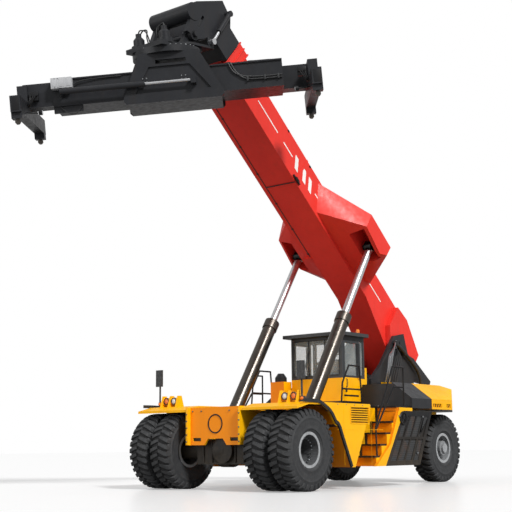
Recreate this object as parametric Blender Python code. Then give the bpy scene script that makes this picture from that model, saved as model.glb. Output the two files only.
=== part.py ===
"""Reach stacker of the 45 t class: a container handler with a telescopic boom and a 20 to 40 ft spreader.

Lengths are in metres. The vehicle frame has the ground under the front axle at its origin, the front
towards -Y and the vehicle's left towards +X. The boom frame has its origin on the foot pin, with the
boom's length along -Y and its upper side towards +Z. The yoke frame has its origin on the head pin.
The carriage frame has its origin at the middle of the slewing ring's underside, with the spreader's
length along X. Each wheel frame has its origin at the hub, with +X outwards.
"""

from math import cos, pi, radians, sin

import bmesh
import bpy
from mathutils import Matrix, Vector

# Clearances and welding overlaps
SEAT = 0.0004
RUN = 0.0005
SIDE_RUN = 0.006
EMBED = 0.012
CUT_OVER = 0.02

# Stance
WHEEL_RADIUS = 0.80
TYRE_WIDTH = 0.50
WHEELBASE = 6.05
OUTER_TWIN_X = 1.875
TWIN_SPACING = 0.61
REAR_WHEEL_X = 1.41
ORIGIN_BACK = 1.2712

# Tyres: a lug and a groove at each step round the tread
LUG_COUNT = 30
LUG_DEPTH = 0.045
TYRE_SHOULDER_RADIUS = 0.715
TYRE_SIDE_RADIUS = 0.56
RIM_SEAT_RADIUS = 0.32
BEAD_WIDTH_SHARE = 0.66
TREAD_WIDTH_SHARE = 0.84
SHOULDER_WIDTH_SHARE = 0.97
LUG_SWEEP_SHARE = 0.8

# Rims and hubs
RIM_SEGMENTS = 32
FLANGE_RADIUS = 0.355
FLANGE_GAP = 0.18
FLANGE_WIDTH = 0.02
RIM_WALL = 0.03
DISC_THICKNESS = 0.03
FRONT_DISC_SET = 0.06
REAR_DISC_SET = 0.03
HUB_RADIUS = 0.17
HUB_CAP_RADIUS = 0.11
FRONT_HUB_PROUD = 0.10
REAR_HUB_PROUD = 0.17
HUB_CAP_LENGTH = 0.05
HUB_INNER_LENGTH = 0.12
SPINDLE_RADIUS = 0.09
SPINDLE_LENGTH = 0.24
HAND_HOLE_COUNT = 8
HAND_HOLE_RADIUS = 0.032
HAND_HOLE_PLACE = 0.235
HAND_HOLE_SEGMENTS = 10
HAND_HOLE_LAG_SHARE = 0.14

# Front drive axle
AXLE_TUBE_RADIUS = 0.17
AXLE_TUBE_SEGMENTS = 24
DIFF_RADIUS = 0.34
DIFF_HALF_WIDTH = 0.14
DIFF_TAPER = 0.16
DIFF_BULGE_SHARE = 0.8
AXLE_PAD_HALF_LENGTH = 0.2
AXLE_BOX_HALF_WIDTH = 0.64
AXLE_BOX_HALF_LENGTH = 0.24
AXLE_BOX_LOW = 0.52
AXLE_BOX_HIGH = 1.02
DIFF_COVER_X = 0.12
DIFF_COVER_RADIUS = 0.25
DIFF_COVER_REACH = 0.33
STRAP_BOLTS = (-0.46, -0.22, 0.40, 0.62)
STRAP_BOLT_RADIUS = 0.022
STRAP_BOLT_REACH = 0.252
STRAP_BOLT_LOW = 0.56
STRAP_BOLT_HIGH = 0.98

# Chassis
CHASSIS_HALF_WIDTH = 0.73
REAR_CHASSIS_HALF_WIDTH = 0.44
RAIL_WALL = 0.06
RAIL_TOP = 1.60
RAIL_BOTTOM = 0.55
RAIL_RAISED_BOTTOM = 1.04
FRONT_PLATE_Y = -0.41
FRONT_PLATE_THICKNESS = 0.05
FRONT_PLATE_TOP = 1.68
FRONT_PLATE_BOTTOM = 0.91
PLATE_FLANGE_DEPTH = 0.09
PLATE_FLANGE_WIDTH = 0.05
PLATE_SLOTS = (-0.50, 0.50)
PLATE_SLOT_HALF_LENGTH = 0.11
PLATE_SLOT_LOW = 0.99
PLATE_SLOT_HIGH = 1.06
FRONT_NOTCH_HALF_WIDTH = 0.30
FRONT_NOTCH_TOP_HALF_WIDTH = 0.20
FRONT_NOTCH_HEIGHT = 0.13
RAIL_RISE_START_Y = 0.45
RAIL_RISE_END_Y = 0.85
RAIL_DROP_END_Y = 4.65
NARROW_START_Y = 4.92
CHASSIS_END_Y = 6.95
TOP_PLATE_HEIGHT = 0.08
TOP_PLATE_START_Y = 4.32
TOP_PLATE_HALF_WIDTH = 0.95
CROSS_MEMBER_LENGTH = 0.24

# Rear steering axle
REAR_AXLE_HEIGHT = 0.26
REAR_AXLE_HALF_LENGTH = 0.13
REAR_AXLE_SADDLE_HALF_WIDTH = 0.2
KINGPIN_X = 1.03
KNUCKLE_RADIUS = 0.13
KNUCKLE_HALF_HEIGHT = 0.14
FORK_EAR_HEIGHT = 0.07
STEER_LIMIT_DEG = 45.0

# Fenders and side bodies
BODY_HALF_WIDTH = 2.10
FENDER_HALF_WIDTH = 2.15
FENDER_INNER_X = 0.74
FENDER_FRONT_Y = -0.48
FENDER_FRONT_TOP = 1.64
FENDER_BREAK_Y = -0.10
DECK_TOP = 1.73
FENDER_THICKNESS = 0.05
FENDER_END_Y = 0.80
FENDER_LOWER_END = 1.30
ARCH_START_Y = 0.25
ARCH_MID_Y = 0.62
ARCH_MID_Z = 1.52
BODY_INNER_X = 1.30
BODY_BOTTOM = 0.44
FLANK_REAR_LOW_Y = 1.55
FLANK_REAR_HIGH_Y = 2.15
FLANK_FRONT_LOW_Y = 1.36
FLANK_FRONT_HIGH_Y = 0.94
STAIR_INNER_X = 1.50
STAIR_OUTER_X = 2.04
STAIR_COUNT = 4
STAIR_FIRST_Y = 2.42
STAIR_FIRST_Z = 0.66
STAIR_RUN = 0.22
STAIR_RISE = 0.245
TREAD_NOSE = 0.04
TREAD_THICKNESS = 0.04
PANEL_FRONT_LOW_Y = 2.70
PANEL_FRONT_HIGH_Y = 3.50
PANEL_REAR_LOW_Y = 4.12
PANEL_REAR_HIGH_Y = 4.72
PANEL_TOP = 1.62
PANEL_THICKNESS = 0.03
STRINGER_START_Y = 2.33
PANEL_BAYS_ALONG = 4
PANEL_BAYS_UP = 2
PANEL_MARGIN_SHARE = 0.07
PANEL_BAR_SHARE = 0.02
PANEL_RECESS = 0.018
LOUVRE_FRONT_Y = 1.43
LOUVRE_REAR_Y = 2.08
LOUVRE_LOW = 1.34
LOUVRE_PITCH = 0.047
LOUVRE_SLOT = 0.026
LOUVRE_COUNT = 7
LOUVRE_DEPTH = 0.03
DECK_PLATE_INNER_X = 1.16
DECK_PLATE_OUTER_X = 2.04
RAIL_RADIUS = 0.019
RAIL_SIDES = 8
OUTER_RAIL_X = 2.01
OUTER_RAIL = ((2.50, 0.64), (2.48, 1.27), (3.22, 2.58), (3.66, 2.58), (3.66, 1.70))
MIDDLE_RAIL = ((2.485, 1.20), (3.24, 2.14), (3.66, 2.14))
INNER_RAIL_X = 1.26
INNER_RAIL = ((2.30, 1.70), (2.36, 2.23), (2.62, 2.62), (3.03, 2.62), (3.13, 1.70))
INNER_CROSS_RAIL = ((2.345, 2.10), (3.085, 2.10))
CABINET_INNER_X = 0.745
CABINET_OUTER_X = 1.14
CABINET_FRONT_Y = 2.88
CABINET_REAR_Y = 3.17
CABINET_TOP = 2.36
DOME_RADIUS = 0.14
DOME_HEIGHT = 0.20
DECK_INNER_X = 0.85
DECK_FRONT_Y = 2.15
CYLINDER_BAY_END_Y = 2.15
LAMP_LUGS = (1.40, 1.62, 1.84)
LAMP_LUG_THICKNESS = 0.04
LAMP_LUG_FOOT = 0.13
LAMP_LUG_HEAD = 0.05
LAMP_LUG_HEIGHT = 0.24
LAMP_RADIUS = 0.078
LAMP_HALF_LENGTH = 0.05
LAMP_UP = 0.125
LAMP_Y = 0.02

# Hood and counterweight
HOOD_FRONT_Y = 3.86
HOOD_REAR_Y = 4.73
HOOD_BOTTOM = 1.69
HOOD_SIDE_TOP = 1.91
HOOD_TOP = 2.29
HOOD_TOP_X = 1.58
HOOD_INNER_X = 0.78
HOOD_WALL = 0.04
DOOR_PANEL = 0.03
BALLAST_FRONT_Y = 4.74
BALLAST_SIDE_END_Y = 5.68
BALLAST_TAIL_Y = 7.20
BALLAST_TAIL_X = 1.27
BALLAST_TOP = 2.36
BALLAST_SLOPE_START_Y = 5.55
BALLAST_SLOPE_RISE = 0.032
BALLAST_TAIL_TOP = 2.04
VENTS = ((4.80, 5.20), (5.42, 5.62))
VENT_LOW = 1.73
VENT_HIGH = 1.81
VENT_DEPTH = 0.03
BALLAST_SLOT_HALF_WIDTH = 0.74
BALLAST_SLOT_END_Y = 6.62
ENGINE_HALF_WIDTH = 0.42
ENGINE_FRONT_Y = 3.45
ENGINE_REAR_Y = 4.62
ENGINE_TOP = 1.54

# Cab
CAB_HALF_WIDTH = 0.72
CAB_FRONT_Y = 3.15
CAB_REAR_Y = 4.07
CAB_BASE_TOP = 2.40
CAB_FIN_INNER_X = 0.60
CAB_FIN_REAR_Y = 4.16
CAB_FIN_TOP = 2.66
CAB_WALL = 0.05
CAB_WALL_TOP = 3.36
CAB_ROOF_TOP = 3.44
CAB_ROOF_HALF_WIDTH = 0.84
CAB_ROOF_FRONT_Y = 2.98
CAB_ROOF_REAR_Y = 4.10
CAB_FLOOR = 1.98
DOOR_FRONT_Y = 3.21
DOOR_REAR_Y = 3.82
HINGE_RADIUS = 0.024
SIDE_WINDOW_MARGIN = 0.06
DOOR_TOP = 3.28
DOOR_FRAME = 0.06
DOOR_GLASS_BOTTOM = 2.46
CAB_DOOR_GAP = 0.006
WINDOW_MARGIN = 0.08
SEAT_WIDTH = 0.50
SEAT_LENGTH = 0.50
SEAT_Y = 3.74
SEAT_BOX_HEIGHT = 0.32
SEAT_CUSHION_HEIGHT = 0.12
SEAT_BACK_HEIGHT = 0.62
SEAT_BACK_THICKNESS = 0.12
COLUMN_Y = 3.42
COLUMN_HALF_WIDTH = 0.06
COLUMN_HEIGHT = 0.78
STEERING_WHEEL_RADIUS = 0.19
STEERING_WHEEL_THICKNESS = 0.03

# Boom towers
TOWER_INNER_X = 0.60
TOWER_THICKNESS = 0.08
TOWER_FRONT_LOW_Y = 4.36
TOWER_FRONT_HIGH_Y = 4.42
TOWER_FRONT_BREAK_Z = 2.42
TOWER_KNEE_Y = 4.86
TOWER_KNEE_Z = 2.79
TOWER_TOP_FRONT_Y = 5.50
TOWER_TOP_FRONT_Z = 3.52
TOWER_TOP_REAR_Y = 5.94
TOWER_TOP_REAR_Z = 3.60
TOWER_REAR_MID_Y = 6.35
TOWER_REAR_MID_Z = 2.45
TOWER_REAR_LOW_Y = 6.45
TOWER_BRACE_LENGTH = 0.12
TOWER_BRACE_Y = 4.50
TOWER_BRACE_TOP = 2.30
TOWER_GUARD = ((6.08, 3.10), (6.39, 3.01), (7.19, 2.47), (7.13, 2.36), (6.30, 2.44))

# Boom, from its foot pin
FOOT_PIN_Y = 5.75
FOOT_PIN_Z = 3.30
BOOM_ANGLE_DEG = 40.0
BOOM_HALF_WIDTH = 0.415
BOOM_UNDERSIDE = 0.187
BOOM_TOP = 0.945
BOOM_WALL = 0.035
BOOM_END = 8.44
BOOM_CAVITY_START = 0.60
COLLAR_START = 8.12
COLLAR_END = 8.47
COLLAR_PROUD = 0.045
FOOT_HALF_WIDTH = 0.56
FOOT_PIN_RADIUS = 0.10
FOOT_BOSS_RADIUS = 0.20
TAIL_START = 1.55
TAIL_BACK = 0.99
TAIL_LOW_BACK = 0.62
TAIL_LOW = -0.34
TAIL_TOP = 0.62
TAIL_FLARE_START = 0.50
COLLAR_LOW = 0.21
COLLAR_RIBS = (8.12, 8.28, 8.44)
COLLAR_RIB_LENGTH = 0.03
COLLAR_RIB_PROUD = 0.065
STRAP_ALONG = 5.20
STRAP_HALF_LENGTH = 0.03
STRAP_PROUD = 0.008
DUCT_START = 2.95
DUCT_END = 7.93
DUCT_LOW = 0.20
DUCT_HIGH = 0.45
DUCT_REACH = 0.56
DUCT_FLANGE = 0.04
INNER_BOOM_HALF_WIDTH = 0.33
INNER_BOOM_BOTTOM = 0.255
INNER_BOOM_TOP = 0.875
INNER_BOOM_START = 1.05
BOOM_EXTENSION = 6.5
PAD_LENGTH = 0.20

# Lift cylinders and their brackets on the boom
LIFT_X = 1.03
LIFT_FOOT_Y = 1.10
LIFT_FOOT_Z = 1.15
LIFT_EYE_ALONG = 2.772
LIFT_EYE_UP = 0.55
BARREL_RADIUS = 0.155
BARREL_LENGTH = 3.14
BARREL_BASE = 0.17
BARREL_HEAD_RADIUS = 0.175
BARREL_HEAD_LENGTH = 0.22
ROD_RADIUS = 0.085
ROD_TAIL_LENGTH = 1.03
EYE_RADIUS = 0.145
EYE_HALF_WIDTH = 0.095
LIFT_PIN_RADIUS = 0.06
EAR_WIDTH = 0.08
FOOT_EAR_RADIUS = 0.20
FOOT_EAR_LOW_Z = 0.80
CYLINDER_SEGMENTS = 24
GUSSET_TIP_X = 1.29
POCKET_HALF_WIDTH = 0.182
POCKET_START = 2.46
POCKET_END = 3.38
POCKET_TOP = 0.84
GUSSET_ROOT_SHARES = ((1.66, 0.90), (1.52, 0.10), (0.78, 0.12), (0.58, 0.50), (0.66, 0.96))
GUSSET_TIP_SHARES = ((1.24, 0.91), (1.23, 0.40), (0.95, 0.28), (0.865, 0.55), (0.865, 0.91))

# Boom head and yoke
HEAD_PIN_ALONG = 9.46
HEAD_PIN_UP = -0.22
HEAD_PLATE_INNER_X = 0.44
HEAD_PLATE_THICKNESS = 0.10
HEAD_PIN_RADIUS = 0.07
HEAD_BOSS_RADIUS = 0.13
HEAD_START = 8.50
HEAD_BOX_TOP = 0.87
HEAD_TOP = 1.12
HEAD_CREST_ALONG = 9.44
HEAD_SHOULDER_ALONG = 9.04
HEAD_SHOULDER_UP = 1.05
HEAD_NAPE_ALONG = 8.90
HEAD_CHIN_ALONG = 9.64
HEAD_CHIN_UP = -0.36
HEAD_SLOT = ((9.47, 0.02), (9.53, 0.0), (9.585, 0.30), (9.525, 0.32))
HEAD_TUBE_RADIUS = 0.19
HEAD_TUBE_ALONG = 9.80
HEAD_TUBE_UP = 0.12
HEAD_CHEEK_ALONG = 9.89
HEAD_CHEEK_UP = 0.37
HEAD_THROAT_ALONG = 9.08
HEAD_THROAT_UP = 0.22
YOKE_TILT_DEG = 8.0
YOKE_EAR_THICKNESS = 0.08
YOKE_BASE_TOP = -0.20
YOKE_BASE_THICKNESS = 0.05
YOKE_BASE_HALF_WIDTH = 0.585
YOKE_BASE_FRONT = -0.48
YOKE_BASE_REAR = 0.52
YOKE_CORNER_HALF_WIDTH = 0.38
YOKE_CORNER_Y = -0.20
YOKE_EAR_FOOT_HALF_LENGTH = 0.34
RING_FORWARD = 0.315
RING_RADIUS = 0.70
RING_TOP = -0.32
RING_BOTTOM = -0.40
RING_SEGMENTS = 48
HOUSING_HALF_WIDTH = 0.50
HOUSING_FRONT = -0.98
HOUSING_REAR = 0.22
DRIVE_X = 0.36
DRIVE_FORWARD = 0.72
DRIVE_FLANGE_RADIUS = 0.16
DRIVE_GEAR_RADIUS = 0.115
DRIVE_MOTOR_RADIUS = 0.06
DRIVE_FLANGE_TOP = -0.16
DRIVE_CONE_TOP = 0.02
DRIVE_CONE_RADIUS = 0.075
DRIVE_GEAR_TOP = -0.03
DRIVE_MOTOR_TOP = 0.10

# Damping cylinders between the boom head and the yoke
DAMPER_X = 0.63
DAMPER_LUG_OUTER_X = 0.59
DAMPER_HEAD_ALONG = 9.16
DAMPER_HEAD_UP = 0.98
DAMPER_YOKE_BACK = 0.45
DAMPER_YOKE_UP = -0.12
DAMPER_BARREL_RADIUS = 0.055
DAMPER_ROD_RADIUS = 0.032
DAMPER_BARREL_LENGTH = 0.62
DAMPER_BARREL_BASE = 0.075
DAMPER_ROD_LENGTH = 0.70
DAMPER_EYE_RADIUS = 0.065
DAMPER_EYE_HALF_WIDTH = 0.045
DAMPER_LUG_HALF_LENGTH = 0.11
DAMPER_LUG_TOP = -0.03

# Slewing carriage, below the ring
SLEW_ANGLE_DEG = 39.0
CARRIAGE_PLATE_HEIGHT = 0.05
CARRIAGE_MIDDLE = 0.065
CARRIAGE_TOP_HALF_LENGTH = 0.605
CARRIAGE_FOOT_MIDDLE = 0.105
CARRIAGE_FOOT_HALF_LENGTH = 1.005
CARRIAGE_HALF_DEPTH = 0.59
CARRIAGE_SIDE = 0.07
CARRIAGE_SHELF = -0.91
CARRIAGE_RECESS = 0.035
CARRIAGE_WINDOW = ((-0.35, -0.32), (0.47, -0.32), (0.86, -0.84), (-0.66, -0.84))
CARRIAGE_SLOT = ((-0.21, -0.19), (0.40, -0.19), (0.40, -0.27), (-0.21, -0.27))
CARRIAGE_BOTTOM = -1.04
CARRIAGE_CHAMFER = 0.05
SHIFT_LIMIT = 0.80

# Spreader
BEAM_HALF_LENGTH = 2.32
BEAM_HALF_DEPTH = 0.45
BEAM_TOP = -0.36
BEAM_BOTTOM = -0.92
BEAM_WALL = 0.035
TRAY_START = 0.60
TRAY_HALF_DEPTH = 0.30
TRAY_HEIGHT = 0.03
SKID_START = 1.74
SKID_DEPTH = 0.07
SKID_HEIGHT = 0.13
FLANGE_PROUD = 0.03
CONTROL_BOX_START = 2.14
CONTROL_BOX_END = 2.31
CONTROL_BOX_PROUD = 0.16
CONTROL_BOX_LOW = -0.58
SHIFT_CYLINDER_Y = -0.675
SHIFT_CYLINDER_Z = -0.67
SHIFT_BARREL_START = -2.15
SHIFT_BARREL_END = -0.44
SHIFT_BARREL_RADIUS = 0.06
SHIFT_ROD_RADIUS = 0.03
SHIFT_ROD_START = -1.27
SHIFT_ROD_END = 0.52
SHIFT_BRACKET_LENGTH = 0.10
SHIFT_BRACKET_HALF_HEIGHT = 0.08
ARM_HALF_GAP = 0.03
ARM_RUN = 0.008
ARM_INNER_END = 2.05
TWISTLOCK_X = 2.9265
TWISTLOCK_Y = 1.1295
END_BEAM_HALF_WIDTH = 0.10
END_BEAM_HALF_LENGTH = 1.2843
END_BEAM_TOP = -0.80
END_BEAM_BOTTOM = -1.12
END_HEAD_TOP = -0.44
END_HEAD_HALF_DEPTH = 0.50
CORNER_BOTTOM = -1.24
CORNER_HALF_SIZE = 0.11
LOCK_SHANK_RADIUS = 0.034
LOCK_BORE_RADIUS = 0.037
LOCK_HEAD_HALF_LENGTH = 0.052
LOCK_HEAD_HALF_WIDTH = 0.030
LOCK_HEAD_HEIGHT = 0.045
LOCK_DROP = 0.025
LOCK_TIP_HEIGHT = 0.035
LOCK_TIP_SHARE = 0.45
LOCK_TURN_HEIGHT = 0.10
SPREAD_TRAVEL = 3.066

# Mirrors
MIRROR_POST_RADIUS = 0.02
MIRROR_X = 1.93
MIRROR_Y = -0.03
MIRROR_HEIGHT = 0.36
MIRROR_WIDTH = 0.17
MIRROR_DEPTH = 0.05
MIRROR_POST_TOP = 2.36

# Colours as sRGB shares, roughness and metallic
FINISHES = {
    "yellow": ((1.0, 0.66, 0.04), 0.38, 0.0),
    "orange": ((0.98, 0.52, 0.02), 0.38, 0.0),
    "red": ((0.85, 0.13, 0.10), 0.35, 0.0),
    "black": ((0.09, 0.09, 0.095), 0.5, 0.0),
    "grey": ((0.29, 0.29, 0.30), 0.5, 0.0),
    "rim": ((0.62, 0.63, 0.64), 0.4, 0.0),
    "rubber": ((0.10, 0.10, 0.10), 0.85, 0.0),
    "chrome": ((0.80, 0.80, 0.81), 0.12, 1.0),
    "seat": ((0.07, 0.07, 0.075), 0.8, 0.0),
    "iron": ((0.22, 0.23, 0.24), 0.6, 0.3),
}


def clear_scene():
    for old in list(bpy.data.objects):
        bpy.data.objects.remove(old)


def make_finish(name):
    """A Principled material from the finish table."""
    colour, roughness, metallic = FINISHES[name]
    material = bpy.data.materials.new(name)
    material.use_nodes = True
    shader = material.node_tree.nodes["Principled BSDF"]
    linear = [share ** 2.2 for share in colour]
    shader.inputs["Base Color"].default_value = (*linear, 1.0)
    shader.inputs["Roughness"].default_value = roughness
    shader.inputs["Metallic"].default_value = metallic
    return material


def prism(axis, outline, low, high):
    """An outline pushed along an axis. Its points are (y, z) for X, (x, z) for Y and (x, y) for Z."""
    order = {"X": (2, 0, 1), "Y": (0, 2, 1), "Z": (0, 1, 2)}[axis]
    shape = bmesh.new()
    ends = []
    for along in (low, high):
        corners = []
        for first, second in outline:
            triple = (first, second, along)
            corners.append(shape.verts.new([triple[index] for index in order]))
        ends.append(corners)
        shape.faces.new(corners)
    count = len(outline)
    for index in range(count):
        after = (index + 1) % count
        shape.faces.new((ends[0][index], ends[0][after], ends[1][after], ends[1][index]))
    bmesh.ops.recalc_face_normals(shape, faces=shape.faces)
    return shape


def block(x_low, x_high, y_low, y_high, z_low, z_high):
    """A box between two corners."""
    outline = ((x_low, y_low), (x_high, y_low), (x_high, y_high), (x_low, y_high))
    return prism("Z", outline, z_low, z_high)


def turned(axis, profile, segments, centre=(0, 0, 0), phase=0.0):
    """A closed profile of (along, radius) points turned round an axis through the centre."""
    shape = bmesh.new()
    rings = []
    for along, radius in profile:
        if radius == 0:
            rings.append([shape.verts.new(axis_point(axis, along, 0, 0, centre))] * segments)
            continue
        ring = []
        for step in range(segments):
            angle = 2 * pi * step / segments + phase
            ring.append(shape.verts.new(axis_point(axis, along, radius, angle, centre)))
        rings.append(ring)
    for index, ring in enumerate(rings):
        following = rings[(index + 1) % len(rings)]
        for step in range(segments):
            after = (step + 1) % segments
            corners = []
            for corner in (ring[step], ring[after], following[after], following[step]):
                if corner not in corners:
                    corners.append(corner)
            if len(corners) > 2:
                shape.faces.new(corners)
    bmesh.ops.recalc_face_normals(shape, faces=shape.faces)
    return shape


def axis_point(axis, along, radius, angle, centre):
    """A point at an angle and radius round an axis through the centre."""
    first = radius * cos(angle)
    second = radius * sin(angle)
    offset = {"X": (along, first, second), "Y": (first, along, second), "Z": (first, second, along)}[axis]
    return Vector(centre) + Vector(offset)


def cylinder(axis, low, high, radius, centre=(0, 0, 0), segments=CYLINDER_SEGMENTS):
    """A round bar between two places along an axis."""
    return turned(axis, ((low, 0), (low, radius), (high, radius), (high, 0)), segments, centre)


def hull(points):
    """The convex solid round a set of points."""
    shape = bmesh.new()
    for point in points:
        shape.verts.new(point)
    result = bmesh.ops.convex_hull(shape, input=shape.verts)
    loose = [item for item in result["geom_interior"] if isinstance(item, bmesh.types.BMVert)]
    bmesh.ops.delete(shape, geom=loose, context="VERTS")
    bmesh.ops.recalc_face_normals(shape, faces=shape.faces)
    return shape


def bar(places, x_place, radius, sides):
    """A round bar bent through (y, z) places in a plane of one x, mitred at each bend."""
    shape = bmesh.new()
    points = [Vector((x_place, first, second)) for first, second in places]
    rings = []
    for index, point in enumerate(points):
        before = (point - points[index - 1]).normalized() if index else None
        after = (points[index + 1] - point).normalized() if index + 1 < len(points) else None
        run = before if after is None else after
        miter = ((before or after) + (after or before)).normalized()
        across = Vector((1, 0, 0))
        up = across.cross(miter)
        stretch = 1 / abs(miter.dot(run))
        ring = []
        for step in range(sides):
            angle = 2 * pi * step / sides
            offset = across * (radius * cos(angle)) + up * (radius * stretch * sin(angle))
            ring.append(shape.verts.new(point + offset))
        rings.append(ring)
    for ring, following in zip(rings, rings[1:]):
        for step in range(sides):
            next_step = (step + 1) % sides
            shape.faces.new((ring[step], ring[next_step], following[next_step], following[step]))
    shape.faces.new(rings[0])
    shape.faces.new(rings[-1])
    bmesh.ops.recalc_face_normals(shape, faces=shape.faces)
    return shape


def as_object(name, shape):
    mesh = bpy.data.meshes.new(name)
    shape.to_mesh(mesh)
    shape.free()
    made = bpy.data.objects.new(name, mesh)
    bpy.context.scene.collection.objects.link(made)
    return made


def welded(name, solids, cuts):
    """One mesh: the first solid with the others welded on and the cuts taken out."""
    base = as_object(name, solids[0])
    tools = []
    jobs = [("UNION", shape) for shape in solids[1:]] + [("DIFFERENCE", shape) for shape in cuts]
    for operation, shape in jobs:
        tool = as_object(name + "_tool", shape)
        tools.append(tool)
        modifier = base.modifiers.new(operation.lower(), "BOOLEAN")
        modifier.operation = operation
        modifier.solver = "EXACT"
        modifier.object = tool
    bpy.context.view_layer.update()
    reading = base.evaluated_get(bpy.context.evaluated_depsgraph_get())
    mesh = bpy.data.meshes.new_from_object(reading)
    for old in [base] + tools:
        bpy.data.objects.remove(old)
    return mesh


def welded_shape(name, solids, cuts):
    """A welded and cut body as a shape that more can be welded to."""
    mesh = welded(name, solids, cuts)
    shape = bmesh.new()
    shape.from_mesh(mesh)
    bpy.data.meshes.remove(mesh)
    return shape


def piece(name, solids, finish, frame, cuts=(), side=1, smooth=False, home=None):
    """A named sub-part, modelled in a frame for the left side and mirrored for the right."""
    mesh = welded(name, solids, cuts)
    mesh.name = name
    if side < 0:
        mesh.transform(Matrix.Scale(-1, 4, (1, 0, 0)))
        mesh.flip_normals()
    made = bpy.data.objects.new(name, mesh)
    bpy.context.scene.collection.objects.link(made)
    holder = home or frame
    if home:
        mesh.transform(home.matrix_world.inverted() @ frame.matrix_world)
    made.parent = holder
    made.data.materials.clear()
    made.data.materials.append(MATERIALS[finish])
    if smooth:
        mesh.shade_smooth()
        mesh.set_sharp_from_angle(angle=radians(SMOOTH_ANGLE_DEG))
    return made


def pivot(name, parent, place, turn=(0, 0, 0)):
    """An empty on a joint's axis."""
    made = bpy.data.objects.new(name, None)
    bpy.context.scene.collection.objects.link(made)
    made.parent = parent
    made.location = place
    made.rotation_euler = turn
    bpy.context.view_layer.update()
    return made


SMOOTH_ANGLE_DEG = 35.0
SIDES = (("left", 1), ("right", -1))


def tyre_shape(centre_x):
    """A tyre with slanted shoulder lugs, its lug tips on the wheel's radius."""
    half = TYRE_WIDTH / 2
    steps = 2 * LUG_COUNT
    bead = (RIM_SEAT_RADIUS + SEAT) / cos(pi / steps)
    shape = bmesh.new()
    rings = []
    for step in range(steps):
        lug = step % 2 == 0
        tread = WHEEL_RADIUS if lug else WHEEL_RADIUS - LUG_DEPTH
        shoulder = TYRE_SHOULDER_RADIUS if lug else TYRE_SHOULDER_RADIUS - LUG_DEPTH
        sweep = LUG_SWEEP_SHARE
        profile = (
            (BEAD_WIDTH_SHARE, bead, 0),
            (1, TYRE_SIDE_RADIUS, 0),
            (SHOULDER_WIDTH_SHARE, shoulder, sweep),
            (TREAD_WIDTH_SHARE, tread, 0),
        )
        ring = []
        for way in (-1, 1):
            for share, radius, lag in profile if way < 0 else reversed(profile):
                angle = 2 * pi * (step + lag) / steps - pi / 2
                place = (centre_x + way * share * half, radius * cos(angle), radius * sin(angle))
                ring.append(shape.verts.new(place))
        rings.append(ring)
    for step, ring in enumerate(rings):
        following = rings[(step + 1) % steps]
        for index in range(len(ring)):
            after = (index + 1) % len(ring)
            shape.faces.new((ring[index], ring[after], following[after], following[index]))
    bmesh.ops.recalc_face_normals(shape, faces=shape.faces)
    return shape


def rim_shape(inner_centre, outer_centre, disc_set, hub_proud):
    """A rim for one or two tyres, with its disc, its hub and the bore that runs on the spindle."""
    seat = RIM_SEAT_RADIUS - SEAT
    well = seat - RIM_WALL
    bore = (SPINDLE_RADIUS + RUN) / cos(pi / RIM_SEGMENTS)
    lip_in = inner_centre - FLANGE_GAP - FLANGE_WIDTH
    lip_out = outer_centre + FLANGE_GAP + FLANGE_WIDTH
    disc_out = outer_centre + disc_set
    disc_in = disc_out - DISC_THICKNESS
    outline = [(lip_in, well), (lip_in, FLANGE_RADIUS), (inner_centre - FLANGE_GAP, FLANGE_RADIUS)]
    outline += [(inner_centre - FLANGE_GAP, seat), (inner_centre + FLANGE_GAP, seat)]
    if outer_centre > inner_centre:
        outline += [(inner_centre + FLANGE_GAP, FLANGE_RADIUS), (outer_centre - FLANGE_GAP, FLANGE_RADIUS)]
        outline += [(outer_centre - FLANGE_GAP, seat), (outer_centre + FLANGE_GAP, seat)]
    outline += [(outer_centre + FLANGE_GAP, FLANGE_RADIUS), (lip_out, FLANGE_RADIUS), (lip_out, well)]
    outline += [(disc_out, well), (disc_out, HUB_RADIUS), (disc_out + hub_proud, HUB_RADIUS)]
    outline += [(disc_out + hub_proud, HUB_CAP_RADIUS), (disc_out + hub_proud + HUB_CAP_LENGTH, HUB_CAP_RADIUS)]
    outline += [(disc_out + hub_proud + HUB_CAP_LENGTH, 0)]
    bore_start = disc_in - HUB_INNER_LENGTH
    bore_end = bore_start + SPINDLE_LENGTH / 2 + RUN
    outline += [(bore_end, 0), (bore_end, bore), (bore_start, bore), (bore_start, HUB_RADIUS)]
    outline += [(disc_in, HUB_RADIUS), (disc_in, well)]
    return turned("X", outline, RIM_SEGMENTS)


def hub_face(outer_centre, disc_set):
    """Where the hub's inner face lies, which the axle's end meets."""
    return outer_centre + disc_set - DISC_THICKNESS - HUB_INNER_LENGTH


def front_wheels(vehicle, label, side):
    frame = pivot("front_wheel_axis_" + label, vehicle, (side * OUTER_TWIN_X, 0, WHEEL_RADIUS))
    inner = -TWIN_SPACING
    piece("rim_front_" + label, [rim_shape(inner, 0, FRONT_DISC_SET - TWIN_SPACING / 2, FRONT_HUB_PROUD)],
          "rim", frame, side=side, smooth=True)
    for place, centre in (("outer", 0), ("inner", inner)):
        piece("tyre_front_" + label + "_" + place, [tyre_shape(centre)], "rubber", frame, side=side)


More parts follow.
